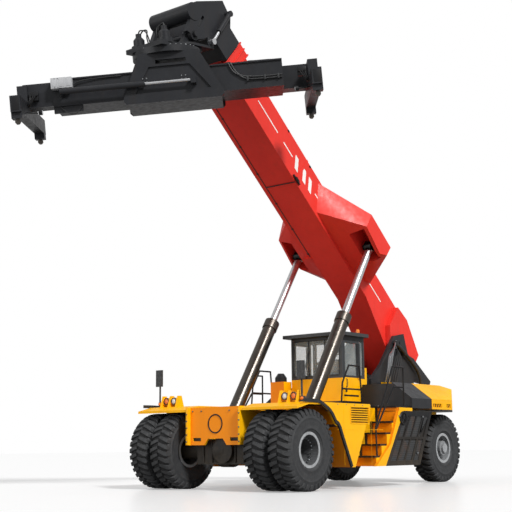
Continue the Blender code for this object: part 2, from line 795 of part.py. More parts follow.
def front_axle(vehicle):
    """The drive axle: its bulged middle, tubes, spindles and the pads under the rails."""
    face = OUTER_TWIN_X + hub_face(0, FRONT_DISC_SET - TWIN_SPACING / 2) - SIDE_RUN
    tip = face + SPINDLE_LENGTH / 2
    half = [
        (DIFF_HALF_WIDTH, DIFF_RADIUS),
        (DIFF_HALF_WIDTH + DIFF_TAPER, AXLE_TUBE_RADIUS),
        (face, AXLE_TUBE_RADIUS),
        (face, SPINDLE_RADIUS),
        (tip, SPINDLE_RADIUS),
        (tip, 0),
    ]
    profile = [(-along, radius) for along, radius in reversed(half)] + half
    beam = turned("X", profile, RIM_SEGMENTS, (0, 0, WHEEL_RADIUS))
    pads = []
    for way in (-1, 1):
        ends = sorted((way * (CHASSIS_HALF_WIDTH - 2 * RAIL_WALL), way * CHASSIS_HALF_WIDTH))
        pads.append(block(*ends, -AXLE_PAD_HALF_LENGTH, AXLE_PAD_HALF_LENGTH, WHEEL_RADIUS,
                          RAIL_RAISED_BOTTOM - SEAT))
    box = block(-AXLE_BOX_HALF_WIDTH, AXLE_BOX_HALF_WIDTH, -AXLE_BOX_HALF_LENGTH, AXLE_BOX_HALF_LENGTH,
                AXLE_BOX_LOW, AXLE_BOX_HIGH)
    cover = cylinder("Y", -DIFF_COVER_REACH, 0, DIFF_COVER_RADIUS, (DIFF_COVER_X, 0, WHEEL_RADIUS), RIM_SEGMENTS)
    straps = []
    for place in STRAP_BOLTS:
        straps.append(cylinder("Z", STRAP_BOLT_LOW, STRAP_BOLT_HIGH, STRAP_BOLT_RADIUS,
                               (place, -STRAP_BOLT_REACH, 0), CYLINDER_SEGMENTS // 2))
        straps.append(block(place - STRAP_BOLT_RADIUS / 2, place + STRAP_BOLT_RADIUS / 2, -STRAP_BOLT_REACH, 0,
                            STRAP_BOLT_LOW + EMBED, STRAP_BOLT_HIGH - EMBED))
    piece("front_axle", [beam, box, cover] + pads + straps, "black", vehicle, smooth=True)


def rear_wheel(vehicle, label, side):
    """A steered wheel: the knuckle on its kingpin and the wheel on the knuckle's spindle."""
    turn_frame = pivot("kingpin_" + label, vehicle, (side * KINGPIN_X, WHEELBASE, WHEEL_RADIUS))
    wheel_frame = pivot("rear_wheel_axis_" + label, turn_frame, (side * (REAR_WHEEL_X - KINGPIN_X), 0, 0))
    face = REAR_WHEEL_X - KINGPIN_X + hub_face(0, REAR_DISC_SET) - SIDE_RUN
    post = cylinder("Z", -KNUCKLE_HALF_HEIGHT, KNUCKLE_HALF_HEIGHT, KNUCKLE_RADIUS)
    spindle = turned("X", ((0, 0), (0, AXLE_TUBE_RADIUS / 2 + SPINDLE_RADIUS / 2),
                           (face, AXLE_TUBE_RADIUS / 2 + SPINDLE_RADIUS / 2), (face, SPINDLE_RADIUS),
                           (face + SPINDLE_LENGTH / 2, SPINDLE_RADIUS), (face + SPINDLE_LENGTH / 2, 0)),
                     RIM_SEGMENTS)
    piece("knuckle_" + label, [post, spindle], "black", turn_frame, side=side, smooth=True)
    holes = []
    for step in range(HAND_HOLE_COUNT):
        angle = 2 * pi * (step + HAND_HOLE_LAG_SHARE) / HAND_HOLE_COUNT
        centre = (0, HAND_HOLE_PLACE * cos(angle), HAND_HOLE_PLACE * sin(angle))
        holes.append(cylinder("X", REAR_DISC_SET - DISC_THICKNESS - CUT_OVER, REAR_DISC_SET + CUT_OVER,
                              HAND_HOLE_RADIUS, centre, HAND_HOLE_SEGMENTS))
    piece("rim_rear_" + label, [rim_shape(0, 0, REAR_DISC_SET, REAR_HUB_PROUD)], "rim", wheel_frame,
          cuts=holes, side=side, smooth=True)
    piece("tyre_rear_" + label, [tyre_shape(0)], "rubber", wheel_frame, side=side)


def rear_axle(vehicle):
    """The steering axle: a box beam with a fork round each knuckle and a saddle under the chassis."""
    ear_low = KNUCKLE_HALF_HEIGHT + RUN
    ear_high = ear_low + FORK_EAR_HEIGHT
    root = KINGPIN_X - KNUCKLE_RADIUS - SIDE_RUN
    front = WHEELBASE - REAR_AXLE_HALF_LENGTH
    rear = WHEELBASE + REAR_AXLE_HALF_LENGTH
    solids = [block(-root, root, front, rear, WHEEL_RADIUS - ear_high, WHEEL_RADIUS + ear_high)]
    for way in (-1, 1):
        for low in (WHEEL_RADIUS - ear_high, WHEEL_RADIUS + ear_low):
            ends = sorted((way * (root - EMBED), way * KINGPIN_X))
            solids.append(block(*ends, front, rear, low, low + FORK_EAR_HEIGHT))
            solids.append(cylinder("Z", low, low + FORK_EAR_HEIGHT, REAR_AXLE_HALF_LENGTH,
                                   (way * KINGPIN_X, WHEELBASE, 0)))
    saddle = block(-REAR_AXLE_SADDLE_HALF_WIDTH, REAR_AXLE_SADDLE_HALF_WIDTH, front, rear,
                   WHEEL_RADIUS, RAIL_RAISED_BOTTOM - SEAT)
    solids.append(saddle)
    piece("rear_axle", solids, "black", vehicle, smooth=True)


def chassis(vehicle):
    """Two deep rails, cross members, the rear top plate, the front plate and the cylinder feet."""
    solids = []
    rail = (
        (FRONT_PLATE_Y + FRONT_PLATE_THICKNESS / 2, RAIL_RAISED_BOTTOM),
        (RAIL_RISE_START_Y, RAIL_RAISED_BOTTOM),
        (RAIL_RISE_END_Y, RAIL_BOTTOM),
        (RAIL_DROP_END_Y, RAIL_BOTTOM),
        (NARROW_START_Y, RAIL_RAISED_BOTTOM),
        (NARROW_START_Y, RAIL_TOP),
        (FRONT_PLATE_Y + FRONT_PLATE_THICKNESS / 2, RAIL_TOP),
    )
    for way in (-1, 1):
        ends = sorted((way * (CHASSIS_HALF_WIDTH - 2 * RAIL_WALL), way * CHASSIS_HALF_WIDTH))
        solids.append(prism("X", rail, *ends))
    solids.append(block(-REAR_CHASSIS_HALF_WIDTH, REAR_CHASSIS_HALF_WIDTH, NARROW_START_Y - CROSS_MEMBER_LENGTH,
                        CHASSIS_END_Y, RAIL_RAISED_BOTTOM, RAIL_TOP))
    cross = CHASSIS_HALF_WIDTH - RAIL_WALL
    for start, low in ((RAIL_RISE_END_Y, RAIL_BOTTOM), (ENGINE_FRONT_Y + CROSS_MEMBER_LENGTH / 2, RAIL_BOTTOM),
                       (NARROW_START_Y - CROSS_MEMBER_LENGTH, RAIL_RAISED_BOTTOM)):
        high = RAIL_TOP if low > RAIL_BOTTOM else RAIL_BOTTOM + 2 * RAIL_WALL
        solids.append(block(-cross, cross, start, start + CROSS_MEMBER_LENGTH, low, high))
    solids.append(block(-TOP_PLATE_HALF_WIDTH, TOP_PLATE_HALF_WIDTH, TOP_PLATE_START_Y, CHASSIS_END_Y,
                        RAIL_TOP - EMBED, RAIL_TOP + TOP_PLATE_HEIGHT))
    solids.append(block(-cross, cross, RAIL_RISE_END_Y, CAB_REAR_Y, RAIL_TOP - RAIL_WALL, RAIL_TOP))
    front_low = FRONT_PLATE_Y
    front_high = FRONT_PLATE_Y + FRONT_PLATE_THICKNESS
    notch = (
        (-CHASSIS_HALF_WIDTH, FRONT_PLATE_BOTTOM),
        (-FRONT_NOTCH_HALF_WIDTH, FRONT_PLATE_BOTTOM),
        (-FRONT_NOTCH_TOP_HALF_WIDTH, FRONT_PLATE_BOTTOM + FRONT_NOTCH_HEIGHT),
        (FRONT_NOTCH_TOP_HALF_WIDTH, FRONT_PLATE_BOTTOM + FRONT_NOTCH_HEIGHT),
        (FRONT_NOTCH_HALF_WIDTH, FRONT_PLATE_BOTTOM),
        (CHASSIS_HALF_WIDTH, FRONT_PLATE_BOTTOM),
        (CHASSIS_HALF_WIDTH, FRONT_PLATE_TOP),
        (-CHASSIS_HALF_WIDTH, FRONT_PLATE_TOP),
    )
    solids.append(prism("Y", notch, front_low, front_high))
    for way in (-1, 1):
        flange = sorted((way * (CHASSIS_HALF_WIDTH - PLATE_FLANGE_WIDTH), way * CHASSIS_HALF_WIDTH))
        solids.append(block(*flange, front_low - PLATE_FLANGE_DEPTH, front_high - EMBED, FRONT_PLATE_BOTTOM,
                            FRONT_PLATE_TOP))
    slots = []
    for place in PLATE_SLOTS:
        slots.append(block(place - PLATE_SLOT_HALF_LENGTH, place + PLATE_SLOT_HALF_LENGTH, front_low - CUT_OVER,
                           front_high + CUT_OVER, PLATE_SLOT_LOW, PLATE_SLOT_HIGH))
    for way in (-1, 1):
        solids += lift_feet(way)
        solids += body_outriggers(way)
    piece("chassis", solids, "yellow", vehicle, cuts=slots)


def lift_feet(way):
    """The two ears that hold a lift cylinder's foot, with the inner one grown from the rail."""
    inner = LIFT_X - EYE_HALF_WIDTH - RUN
    outer = LIFT_X + EYE_HALF_WIDTH + RUN
    solids = []
    for low, high in ((inner - EAR_WIDTH, inner), (outer, outer + EAR_WIDTH)):
        ends = sorted((way * low, way * high))
        solids.append(cylinder("X", *ends, FOOT_EAR_RADIUS, (0, LIFT_FOOT_Y, LIFT_FOOT_Z)))
        solids.append(block(*ends, LIFT_FOOT_Y - FOOT_EAR_RADIUS, LIFT_FOOT_Y + FOOT_EAR_RADIUS,
                            FOOT_EAR_LOW_Z, LIFT_FOOT_Z))
    ends = sorted((way * (CHASSIS_HALF_WIDTH - RAIL_WALL), way * (outer + EAR_WIDTH)))
    solids.append(block(*ends, LIFT_FOOT_Y - FOOT_EAR_RADIUS, LIFT_FOOT_Y + FOOT_EAR_RADIUS,
                        FOOT_EAR_LOW_Z - RAIL_WALL, FOOT_EAR_LOW_Z + EMBED))
    return solids


def body_outriggers(way):
    """Two cross arms from a rail to the side body, just under the deck."""
    solids = []
    for start in (CYLINDER_BAY_END_Y + RAIL_WALL, PANEL_FRONT_HIGH_Y):
        ends = sorted((way * (CHASSIS_HALF_WIDTH - RAIL_WALL), way * (BODY_INNER_X - SEAT)))
        solids.append(block(*ends, start, start + CROSS_MEMBER_LENGTH, RAIL_TOP - 2 * RAIL_WALL, RAIL_TOP))
    return solids


def fender(vehicle, label, side):
    """A front fender: the plate over the twin wheels and the outer skin behind its arch."""
    plate = (
        (FENDER_FRONT_Y, FENDER_FRONT_TOP - FENDER_THICKNESS),
        (FENDER_FRONT_Y, FENDER_FRONT_TOP),
        (FENDER_BREAK_Y, DECK_TOP),
        (FENDER_END_Y, DECK_TOP),
        (FENDER_END_Y, DECK_TOP - FENDER_THICKNESS),
        (FENDER_BREAK_Y, DECK_TOP - FENDER_THICKNESS),
    )
    skin = (
        (ARCH_START_Y, DECK_TOP - FENDER_THICKNESS / 2),
        (ARCH_MID_Y, ARCH_MID_Z),
        (FENDER_END_Y, FENDER_LOWER_END),
        (FENDER_END_Y, DECK_TOP - FENDER_THICKNESS / 2),
    )
    top = prism("X", plate, CHASSIS_HALF_WIDTH + SEAT, FENDER_HALF_WIDTH)
    outer = prism("X", skin, FENDER_HALF_WIDTH - FENDER_THICKNESS, FENDER_HALF_WIDTH)
    solids = [top, outer]
    for place in LAMP_LUGS:
        lug = (
            (LAMP_Y - LAMP_LUG_FOOT, DECK_TOP - EMBED),
            (LAMP_Y + LAMP_LUG_FOOT, DECK_TOP - EMBED),
            (LAMP_Y + LAMP_LUG_HEAD, DECK_TOP + LAMP_LUG_HEIGHT),
            (LAMP_Y - LAMP_LUG_HEAD, DECK_TOP + LAMP_LUG_HEIGHT),
        )
        solids.append(prism("X", lug, place - LAMP_LUG_THICKNESS / 2, place + LAMP_LUG_THICKNESS / 2))
    for place, following in zip(LAMP_LUGS, LAMP_LUGS[1:]):
        middle = ((place + following) / 2, LAMP_Y, DECK_TOP + LAMP_UP)
        solids.append(cylinder("Y", -LAMP_HALF_LENGTH, LAMP_HALF_LENGTH, LAMP_RADIUS, middle))
        solids.append(block(place, following, LAMP_Y - LAMP_LUG_HEAD / 2, LAMP_Y + LAMP_LUG_HEAD / 2,
                            DECK_TOP + LAMP_UP - LAMP_LUG_HEAD, DECK_TOP + LAMP_UP + LAMP_LUG_HEAD))
    piece("fender_" + label, solids, "yellow", vehicle, side=side)


def side_body(vehicle, label, side):
    """The yellow flank, the solid under the stairs, and the box behind the mesh panel."""
    start = FENDER_END_Y + SEAT
    flank = (
        (start, FENDER_LOWER_END),
        (FLANK_FRONT_HIGH_Y, FENDER_LOWER_END - FENDER_THICKNESS),
        (FLANK_FRONT_LOW_Y, BODY_BOTTOM),
        (FLANK_REAR_LOW_Y, BODY_BOTTOM),
        (FLANK_REAR_HIGH_Y, STAIR_FIRST_Z + STAIR_RISE * STAIR_COUNT),
        (FLANK_REAR_HIGH_Y, DECK_TOP),
        (start, DECK_TOP),
    )
    solids = [prism("X", flank, BODY_INNER_X, BODY_HALF_WIDTH)]
    steps = [(STAIR_FIRST_Y, BODY_BOTTOM)]
    for index in range(STAIR_COUNT):
        place = STAIR_FIRST_Y + index * STAIR_RUN
        height = STAIR_FIRST_Z + index * STAIR_RISE - TREAD_THICKNESS
        steps += [(place, height), (place + STAIR_RUN, height)]
    last = STAIR_FIRST_Y + STAIR_COUNT * STAIR_RUN
    steps += [(last, PANEL_TOP - EMBED), (PANEL_REAR_HIGH_Y - PANEL_THICKNESS, PANEL_TOP - EMBED),
              (PANEL_REAR_LOW_Y - PANEL_THICKNESS, BODY_BOTTOM)]
    solids.append(prism("X", steps, BODY_INNER_X + EMBED, STAIR_OUTER_X))
    wall = (
        (FLANK_REAR_LOW_Y, BODY_BOTTOM + EMBED),
        (STAIR_FIRST_Y + STAIR_RUN, BODY_BOTTOM + EMBED),
        (PANEL_FRONT_HIGH_Y, DECK_TOP - FENDER_THICKNESS),
        (FLANK_REAR_HIGH_Y - FENDER_THICKNESS, DECK_TOP - FENDER_THICKNESS),
    )
    solids.append(prism("X", wall, BODY_INNER_X, STAIR_INNER_X))
    stringer = (
        (STRINGER_START_Y, BODY_BOTTOM),
        (PANEL_FRONT_LOW_Y - SEAT, BODY_BOTTOM),
        (PANEL_FRONT_HIGH_Y - SEAT, PANEL_TOP),
        (PANEL_FRONT_HIGH_Y - STAIR_RUN, PANEL_TOP),
        (PANEL_FRONT_LOW_Y + STAIR_RUN, STAIR_FIRST_Z + STAIR_RISE),
    )
    solids.append(prism("X", stringer, STAIR_OUTER_X - EMBED, BODY_HALF_WIDTH))
    deck = block(DECK_INNER_X, BODY_HALF_WIDTH, last, HOOD_FRONT_Y - SEAT, PANEL_TOP, DECK_TOP - TREAD_THICKNESS)
    walkway = block(DECK_INNER_X, STAIR_INNER_X, DECK_FRONT_Y - EMBED, last + EMBED, DECK_TOP - 2 * FENDER_THICKNESS,
                    DECK_TOP - TREAD_THICKNESS)
    solids += [deck, walkway]
    if side < 0:
        low = DECK_TOP - TREAD_THICKNESS - EMBED
        solids.append(block(CABINET_INNER_X, CABINET_OUTER_X, CABINET_FRONT_Y, CABINET_REAR_Y, low, CABINET_TOP))
        dome = (
            (CABINET_TOP - EMBED, 0),
            (CABINET_TOP - EMBED, DOME_RADIUS),
            (CABINET_TOP + DOME_HEIGHT / 2, DOME_RADIUS),
            (CABINET_TOP + DOME_HEIGHT, DOME_RADIUS / 2),
            (CABINET_TOP + DOME_HEIGHT, 0),
        )
        middle = ((CABINET_INNER_X + CABINET_OUTER_X) / 2, (CABINET_FRONT_Y + CABINET_REAR_Y) / 2, 0)
        solids.append(turned("Z", dome, CYLINDER_SEGMENTS, middle))
    cuts = []
    for index in range(LOUVRE_COUNT):
        low = LOUVRE_LOW + index * LOUVRE_PITCH
        cuts.append(block(BODY_HALF_WIDTH - LOUVRE_DEPTH, BODY_HALF_WIDTH + CUT_OVER, LOUVRE_FRONT_Y, LOUVRE_REAR_Y,
                          low, low + LOUVRE_SLOT))
    piece("side_body_" + label, solids, "yellow", vehicle, cuts=cuts, side=side)


def stair_treads(vehicle, label, side):
    """The black treads with the strips that join them, the deck plate and the handrails."""
    solids = []
    for index in range(STAIR_COUNT):
        place = STAIR_FIRST_Y + index * STAIR_RUN
        height = STAIR_FIRST_Z + index * STAIR_RISE
        solids.append(block(STAIR_INNER_X + SEAT, STAIR_OUTER_X - EMBED - SEAT, place - TREAD_NOSE, place + STAIR_RUN - SEAT,
                            height - TREAD_THICKNESS + SEAT, height))
        if index:
            low = height - STAIR_RISE - EMBED
            solids.append(block(STAIR_INNER_X + SEAT, STAIR_INNER_X + TREAD_THICKNESS, place - TREAD_NOSE,
                                place - SEAT, low, height - EMBED))
    last = STAIR_FIRST_Y + STAIR_COUNT * STAIR_RUN
    low = DECK_TOP - TREAD_THICKNESS + SEAT
    plate = (
        (DECK_PLATE_INNER_X, DECK_FRONT_Y + SEAT),
        (STAIR_INNER_X - SEAT, DECK_FRONT_Y + SEAT),
        (STAIR_INNER_X - SEAT, last - TREAD_NOSE),
        (DECK_PLATE_OUTER_X, last - TREAD_NOSE),
        (DECK_PLATE_OUTER_X, HOOD_FRONT_Y - SIDE_RUN),
        (DECK_PLATE_INNER_X, HOOD_FRONT_Y - SIDE_RUN),
    )
    solids.append(prism("Z", plate, low, DECK_TOP))
    height = STAIR_FIRST_Z + (STAIR_COUNT - 1) * STAIR_RISE
    solids.append(block(STAIR_INNER_X + SEAT, STAIR_INNER_X + TREAD_THICKNESS, last - TREAD_NOSE, last - SEAT,
                        height - EMBED, low + EMBED))
    solids.append(bar(OUTER_RAIL, OUTER_RAIL_X, RAIL_RADIUS, RAIL_SIDES))
    solids.append(bar(MIDDLE_RAIL, OUTER_RAIL_X, RAIL_RADIUS, RAIL_SIDES))
    solids.append(bar(INNER_RAIL, INNER_RAIL_X, RAIL_RADIUS, RAIL_SIDES))
    solids.append(bar(INNER_CROSS_RAIL, INNER_RAIL_X, RAIL_RADIUS, RAIL_SIDES))
    piece("stair_treads_" + label, solids, "black", vehicle, side=side)


def mesh_panel(vehicle, label, side):
    """The slanted black panel over the side body, a frame with two rows of sunk bays."""
    outline = (
        (PANEL_FRONT_LOW_Y, BODY_BOTTOM),
        (PANEL_REAR_LOW_Y, BODY_BOTTOM),
        (PANEL_REAR_HIGH_Y, PANEL_TOP),
        (PANEL_FRONT_HIGH_Y, PANEL_TOP),
    )
    panel = prism("X", outline, STAIR_OUTER_X + SEAT, BODY_HALF_WIDTH)
    cuts = []
    for column in range(PANEL_BAYS_ALONG):
        for row in range(PANEL_BAYS_UP):
            bay = []
            for along_step, up_step in ((0, 0), (1, 0), (1, 1), (0, 1)):
                along = bay_share(column + along_step, PANEL_BAYS_ALONG, along_step)
                up = bay_share(row + up_step, PANEL_BAYS_UP, up_step)
                front = PANEL_FRONT_LOW_Y + up * (PANEL_FRONT_HIGH_Y - PANEL_FRONT_LOW_Y)
                rear = PANEL_REAR_LOW_Y + up * (PANEL_REAR_HIGH_Y - PANEL_REAR_LOW_Y)
                bay.append((front + along * (rear - front), BODY_BOTTOM + up * (PANEL_TOP - BODY_BOTTOM)))
            cuts.append(prism("X", bay, BODY_HALF_WIDTH - PANEL_RECESS, BODY_HALF_WIDTH + CUT_OVER))
    piece("side_panel_" + label, [panel], "black", vehicle, cuts=cuts, side=side)


def bay_share(index, count, is_end):
    """Where a bay's edge lies between the panel's edges, leaving a bar beside it."""
    inside = 1 - 2 * PANEL_MARGIN_SHARE
    edge = PANEL_MARGIN_SHARE + inside * index / count
    return edge - PANEL_BAR_SHARE if is_end else edge + PANEL_BAR_SHARE


def hood_section(drop):
    """The hood's cross-section as (x, z) points, drawn in by a wall's thickness."""
    return (
        (HOOD_INNER_X, HOOD_BOTTOM),
        (BODY_HALF_WIDTH - drop, HOOD_BOTTOM),
        (BODY_HALF_WIDTH - drop, HOOD_SIDE_TOP - drop / 2),
        (HOOD_TOP_X, HOOD_TOP - drop),
        (HOOD_INNER_X, HOOD_TOP - drop),
    )


def hood(vehicle, label, side):
    """One side of the engine hood, open behind its service door."""
    shell = prism("Y", hood_section(DOOR_PANEL + SEAT), HOOD_FRONT_Y, HOOD_REAR_Y)
    room = prism("Y", (
        (HOOD_INNER_X + HOOD_WALL, HOOD_BOTTOM + HOOD_WALL),
        (BODY_HALF_WIDTH + CUT_OVER, HOOD_BOTTOM + HOOD_WALL),
        (BODY_HALF_WIDTH + CUT_OVER, HOOD_SIDE_TOP - 2 * HOOD_WALL),
        (HOOD_TOP_X, HOOD_TOP - 2 * HOOD_WALL),
        (HOOD_INNER_X + HOOD_WALL, HOOD_TOP - 2 * HOOD_WALL),
    ), HOOD_FRONT_Y + HOOD_WALL, HOOD_REAR_Y - HOOD_WALL)
    piece("hood_" + label, [shell], "grey", vehicle, cuts=[room], side=side)


def engine_door(vehicle, label, side):
    """The bent door panel over the hood's side, hinged along its upper edge."""
    axis = pivot("engine_door_axis_" + label, vehicle,
                 (side * HOOD_TOP_X, (HOOD_FRONT_Y + HOOD_REAR_Y) / 2, HOOD_TOP))
    skin = (
        (BODY_HALF_WIDTH - DOOR_PANEL, HOOD_BOTTOM),
        (BODY_HALF_WIDTH, HOOD_BOTTOM),
        (BODY_HALF_WIDTH, HOOD_SIDE_TOP),
        (HOOD_TOP_X + SEAT, HOOD_TOP),
        (HOOD_TOP_X + SEAT, HOOD_TOP - DOOR_PANEL),
        (BODY_HALF_WIDTH - DOOR_PANEL, HOOD_SIDE_TOP - DOOR_PANEL / 2),
    )
    panel = prism("Y", skin, HOOD_FRONT_Y, HOOD_REAR_Y - SIDE_RUN)
    piece("engine_door_" + label, [panel], "grey", vehicle, side=side, home=axis)


def counterweight(vehicle):
    """The yellow rear ballast round the towers, with sloping sides and cut rear corners."""
    section = (
        (BODY_HALF_WIDTH, RAIL_TOP + TOP_PLATE_HEIGHT + SEAT),
        (BODY_HALF_WIDTH, HOOD_SIDE_TOP),
        (HOOD_TOP_X, HOOD_TOP),
        (BALLAST_SLOT_HALF_WIDTH, BALLAST_TOP),
        (-BALLAST_SLOT_HALF_WIDTH, BALLAST_TOP),
        (-HOOD_TOP_X, HOOD_TOP),
        (-BODY_HALF_WIDTH, HOOD_SIDE_TOP),
        (-BODY_HALF_WIDTH, RAIL_TOP + TOP_PLATE_HEIGHT + SEAT),
    )
    body = prism("Y", section, BALLAST_FRONT_Y, BALLAST_TAIL_Y)
    slot = block(-BALLAST_SLOT_HALF_WIDTH, BALLAST_SLOT_HALF_WIDTH, BALLAST_FRONT_Y - CUT_OVER, BALLAST_SLOT_END_Y,
                 RAIL_TOP, BALLAST_TOP + CUT_OVER)
    drop = (BALLAST_TOP + BALLAST_SLOPE_RISE - BALLAST_TAIL_TOP) / (BALLAST_TAIL_Y - BALLAST_SLOPE_START_Y)
    slope = (
        (BALLAST_SLOPE_START_Y, BALLAST_TOP + BALLAST_SLOPE_RISE),
        (BALLAST_TAIL_Y + CUT_OVER, BALLAST_TAIL_TOP - drop * CUT_OVER),
        (BALLAST_TAIL_Y + CUT_OVER, BALLAST_TOP + 2 * BALLAST_SLOPE_RISE),
        (BALLAST_SLOPE_START_Y, BALLAST_TOP + 2 * BALLAST_SLOPE_RISE),
    )
    cuts = [slot, prism("X", slope, -BODY_HALF_WIDTH - CUT_OVER, BODY_HALF_WIDTH + CUT_OVER)]
    for way in (-1, 1):
        for vent_start, vent_end in VENTS:
            ends = sorted((way * (BODY_HALF_WIDTH - VENT_DEPTH), way * (BODY_HALF_WIDTH + CUT_OVER)))
            cuts.append(block(*ends, vent_start, vent_end, VENT_LOW, VENT_HIGH))
        corner = (
            (way * BODY_HALF_WIDTH, BALLAST_SIDE_END_Y),
            (way * BALLAST_TAIL_X, BALLAST_TAIL_Y),
            (way * BALLAST_TAIL_X, BALLAST_TAIL_Y + CUT_OVER),
            (way * (BODY_HALF_WIDTH + CUT_OVER), BALLAST_TAIL_Y + CUT_OVER),
            (way * (BODY_HALF_WIDTH + CUT_OVER), BALLAST_SIDE_END_Y),
        )
        cuts.append(prism("Z", corner, RAIL_TOP, BALLAST_TOP + CUT_OVER))
    piece("counterweight", [body], "yellow", vehicle, cuts=cuts)


def engine(vehicle):
    """The engine and gearbox as one plain block between the rails, on a cross member."""
    body = block(-ENGINE_HALF_WIDTH, ENGINE_HALF_WIDTH, ENGINE_FRONT_Y, ENGINE_REAR_Y,
                 RAIL_BOTTOM + 2 * RAIL_WALL + SEAT, ENGINE_TOP - SEAT)
    piece("engine", [body], "iron", vehicle)


def towers(vehicle):
    """The two upright plates that hold the boom's foot pin, joined by the pin and a brace."""
    foot = RAIL_TOP + TOP_PLATE_HEIGHT + SEAT
    outline = (
        (TOWER_FRONT_LOW_Y, foot),
        (TOWER_REAR_LOW_Y, foot),
        (TOWER_REAR_MID_Y, TOWER_REAR_MID_Z),
        (TOWER_TOP_REAR_Y, TOWER_TOP_REAR_Z),
        (TOWER_TOP_FRONT_Y, TOWER_TOP_FRONT_Z),
        (TOWER_KNEE_Y, TOWER_KNEE_Z),
        (TOWER_FRONT_HIGH_Y, TOWER_FRONT_BREAK_Z),
    )
    solids = []
    for way in (-1, 1):
        ends = sorted((way * TOWER_INNER_X, way * (TOWER_INNER_X + TOWER_THICKNESS)))
        solids.append(prism("X", outline, *ends))
        solids.append(prism("X", TOWER_GUARD, *ends))
    reach = TOWER_INNER_X + TOWER_THICKNESS + RAIL_WALL
    solids.append(cylinder("X", -reach, reach, FOOT_PIN_RADIUS, (0, FOOT_PIN_Y, FOOT_PIN_Z)))
    solids.append(block(-TOWER_INNER_X - EMBED, TOWER_INNER_X + EMBED, TOWER_BRACE_Y,
                        TOWER_BRACE_Y + TOWER_BRACE_LENGTH, foot, TOWER_BRACE_TOP))
    piece("boom_towers", solids, "black", vehicle)


def cab_base(vehicle):
    """The yellow pedestal under the cab, with a rim round the floor."""
    solid = block(-CAB_HALF_WIDTH, CAB_HALF_WIDTH, CAB_FRONT_Y, CAB_REAR_Y, RAIL_TOP + SEAT, CAB_BASE_TOP - SEAT)
    room = block(-CAB_HALF_WIDTH + CAB_WALL, CAB_HALF_WIDTH - CAB_WALL, CAB_FRONT_Y + CAB_WALL, CAB_REAR_Y - CAB_WALL,
                 CAB_FLOOR, CAB_BASE_TOP + CUT_OVER)
    cuts = [room]
    for way in (-1, 1):
        ends = sorted((way * (CAB_HALF_WIDTH - 2 * CAB_WALL), way * (CAB_HALF_WIDTH + CUT_OVER)))
        cuts.append(block(*ends, DOOR_FRONT_Y, DOOR_REAR_Y, CAB_FLOOR, CAB_BASE_TOP + CUT_OVER))
    fins = []
    for way in (-1, 1):
        ends = sorted((way * CAB_FIN_INNER_X, way * CAB_HALF_WIDTH))
        fins.append(block(*ends, CAB_REAR_Y - EMBED, CAB_FIN_REAR_Y, RAIL_TOP + SEAT, CAB_BASE_TOP - EMBED))
        fins.append(block(*ends, CAB_REAR_Y + SIDE_RUN, CAB_FIN_REAR_Y, CAB_BASE_TOP - 2 * EMBED, CAB_FIN_TOP))
    piece("cab_base", [solid] + fins, "yellow", vehicle, cuts=cuts)


def cab_shell(vehicle):
    """The cab's window frames above the pedestal, open at the front, the rear and both doors."""
    outer = block(-CAB_HALF_WIDTH, CAB_HALF_WIDTH, CAB_FRONT_Y, CAB_REAR_Y, CAB_BASE_TOP, CAB_WALL_TOP)
    cuts = [block(-CAB_HALF_WIDTH + CAB_WALL, CAB_HALF_WIDTH - CAB_WALL, CAB_FRONT_Y + CAB_WALL,
                  CAB_REAR_Y - CAB_WALL, CAB_BASE_TOP - CUT_OVER, CAB_WALL_TOP + CUT_OVER)]
    cuts.append(block(-CAB_HALF_WIDTH + WINDOW_MARGIN, CAB_HALF_WIDTH - WINDOW_MARGIN, CAB_FRONT_Y - CUT_OVER,
                      CAB_REAR_Y + CUT_OVER, CAB_BASE_TOP + WINDOW_MARGIN, CAB_WALL_TOP - WINDOW_MARGIN))
    cuts.append(block(-CAB_HALF_WIDTH - CUT_OVER, CAB_HALF_WIDTH + CUT_OVER, DOOR_FRONT_Y, DOOR_REAR_Y,
                      CAB_BASE_TOP - CUT_OVER, DOOR_TOP))
    cuts.append(block(-CAB_HALF_WIDTH - CUT_OVER, CAB_HALF_WIDTH + CUT_OVER, DOOR_REAR_Y + SIDE_WINDOW_MARGIN,
                      CAB_REAR_Y - SIDE_WINDOW_MARGIN, CAB_BASE_TOP + WINDOW_MARGIN, DOOR_TOP))
    piece("cab_shell", [outer], "grey", vehicle, cuts=cuts)


def cab_roof(vehicle):
    """The roof plate with its visor over the windscreen."""
    outline = (
        (CAB_ROOF_FRONT_Y, CAB_WALL_TOP + SEAT),
        (CAB_ROOF_REAR_Y, CAB_WALL_TOP + SEAT),
        (CAB_ROOF_REAR_Y, CAB_ROOF_TOP),
        (CAB_ROOF_FRONT_Y, CAB_ROOF_TOP),
    )
    piece("cab_roof", [prism("X", outline, -CAB_ROOF_HALF_WIDTH, CAB_ROOF_HALF_WIDTH)], "grey", vehicle)


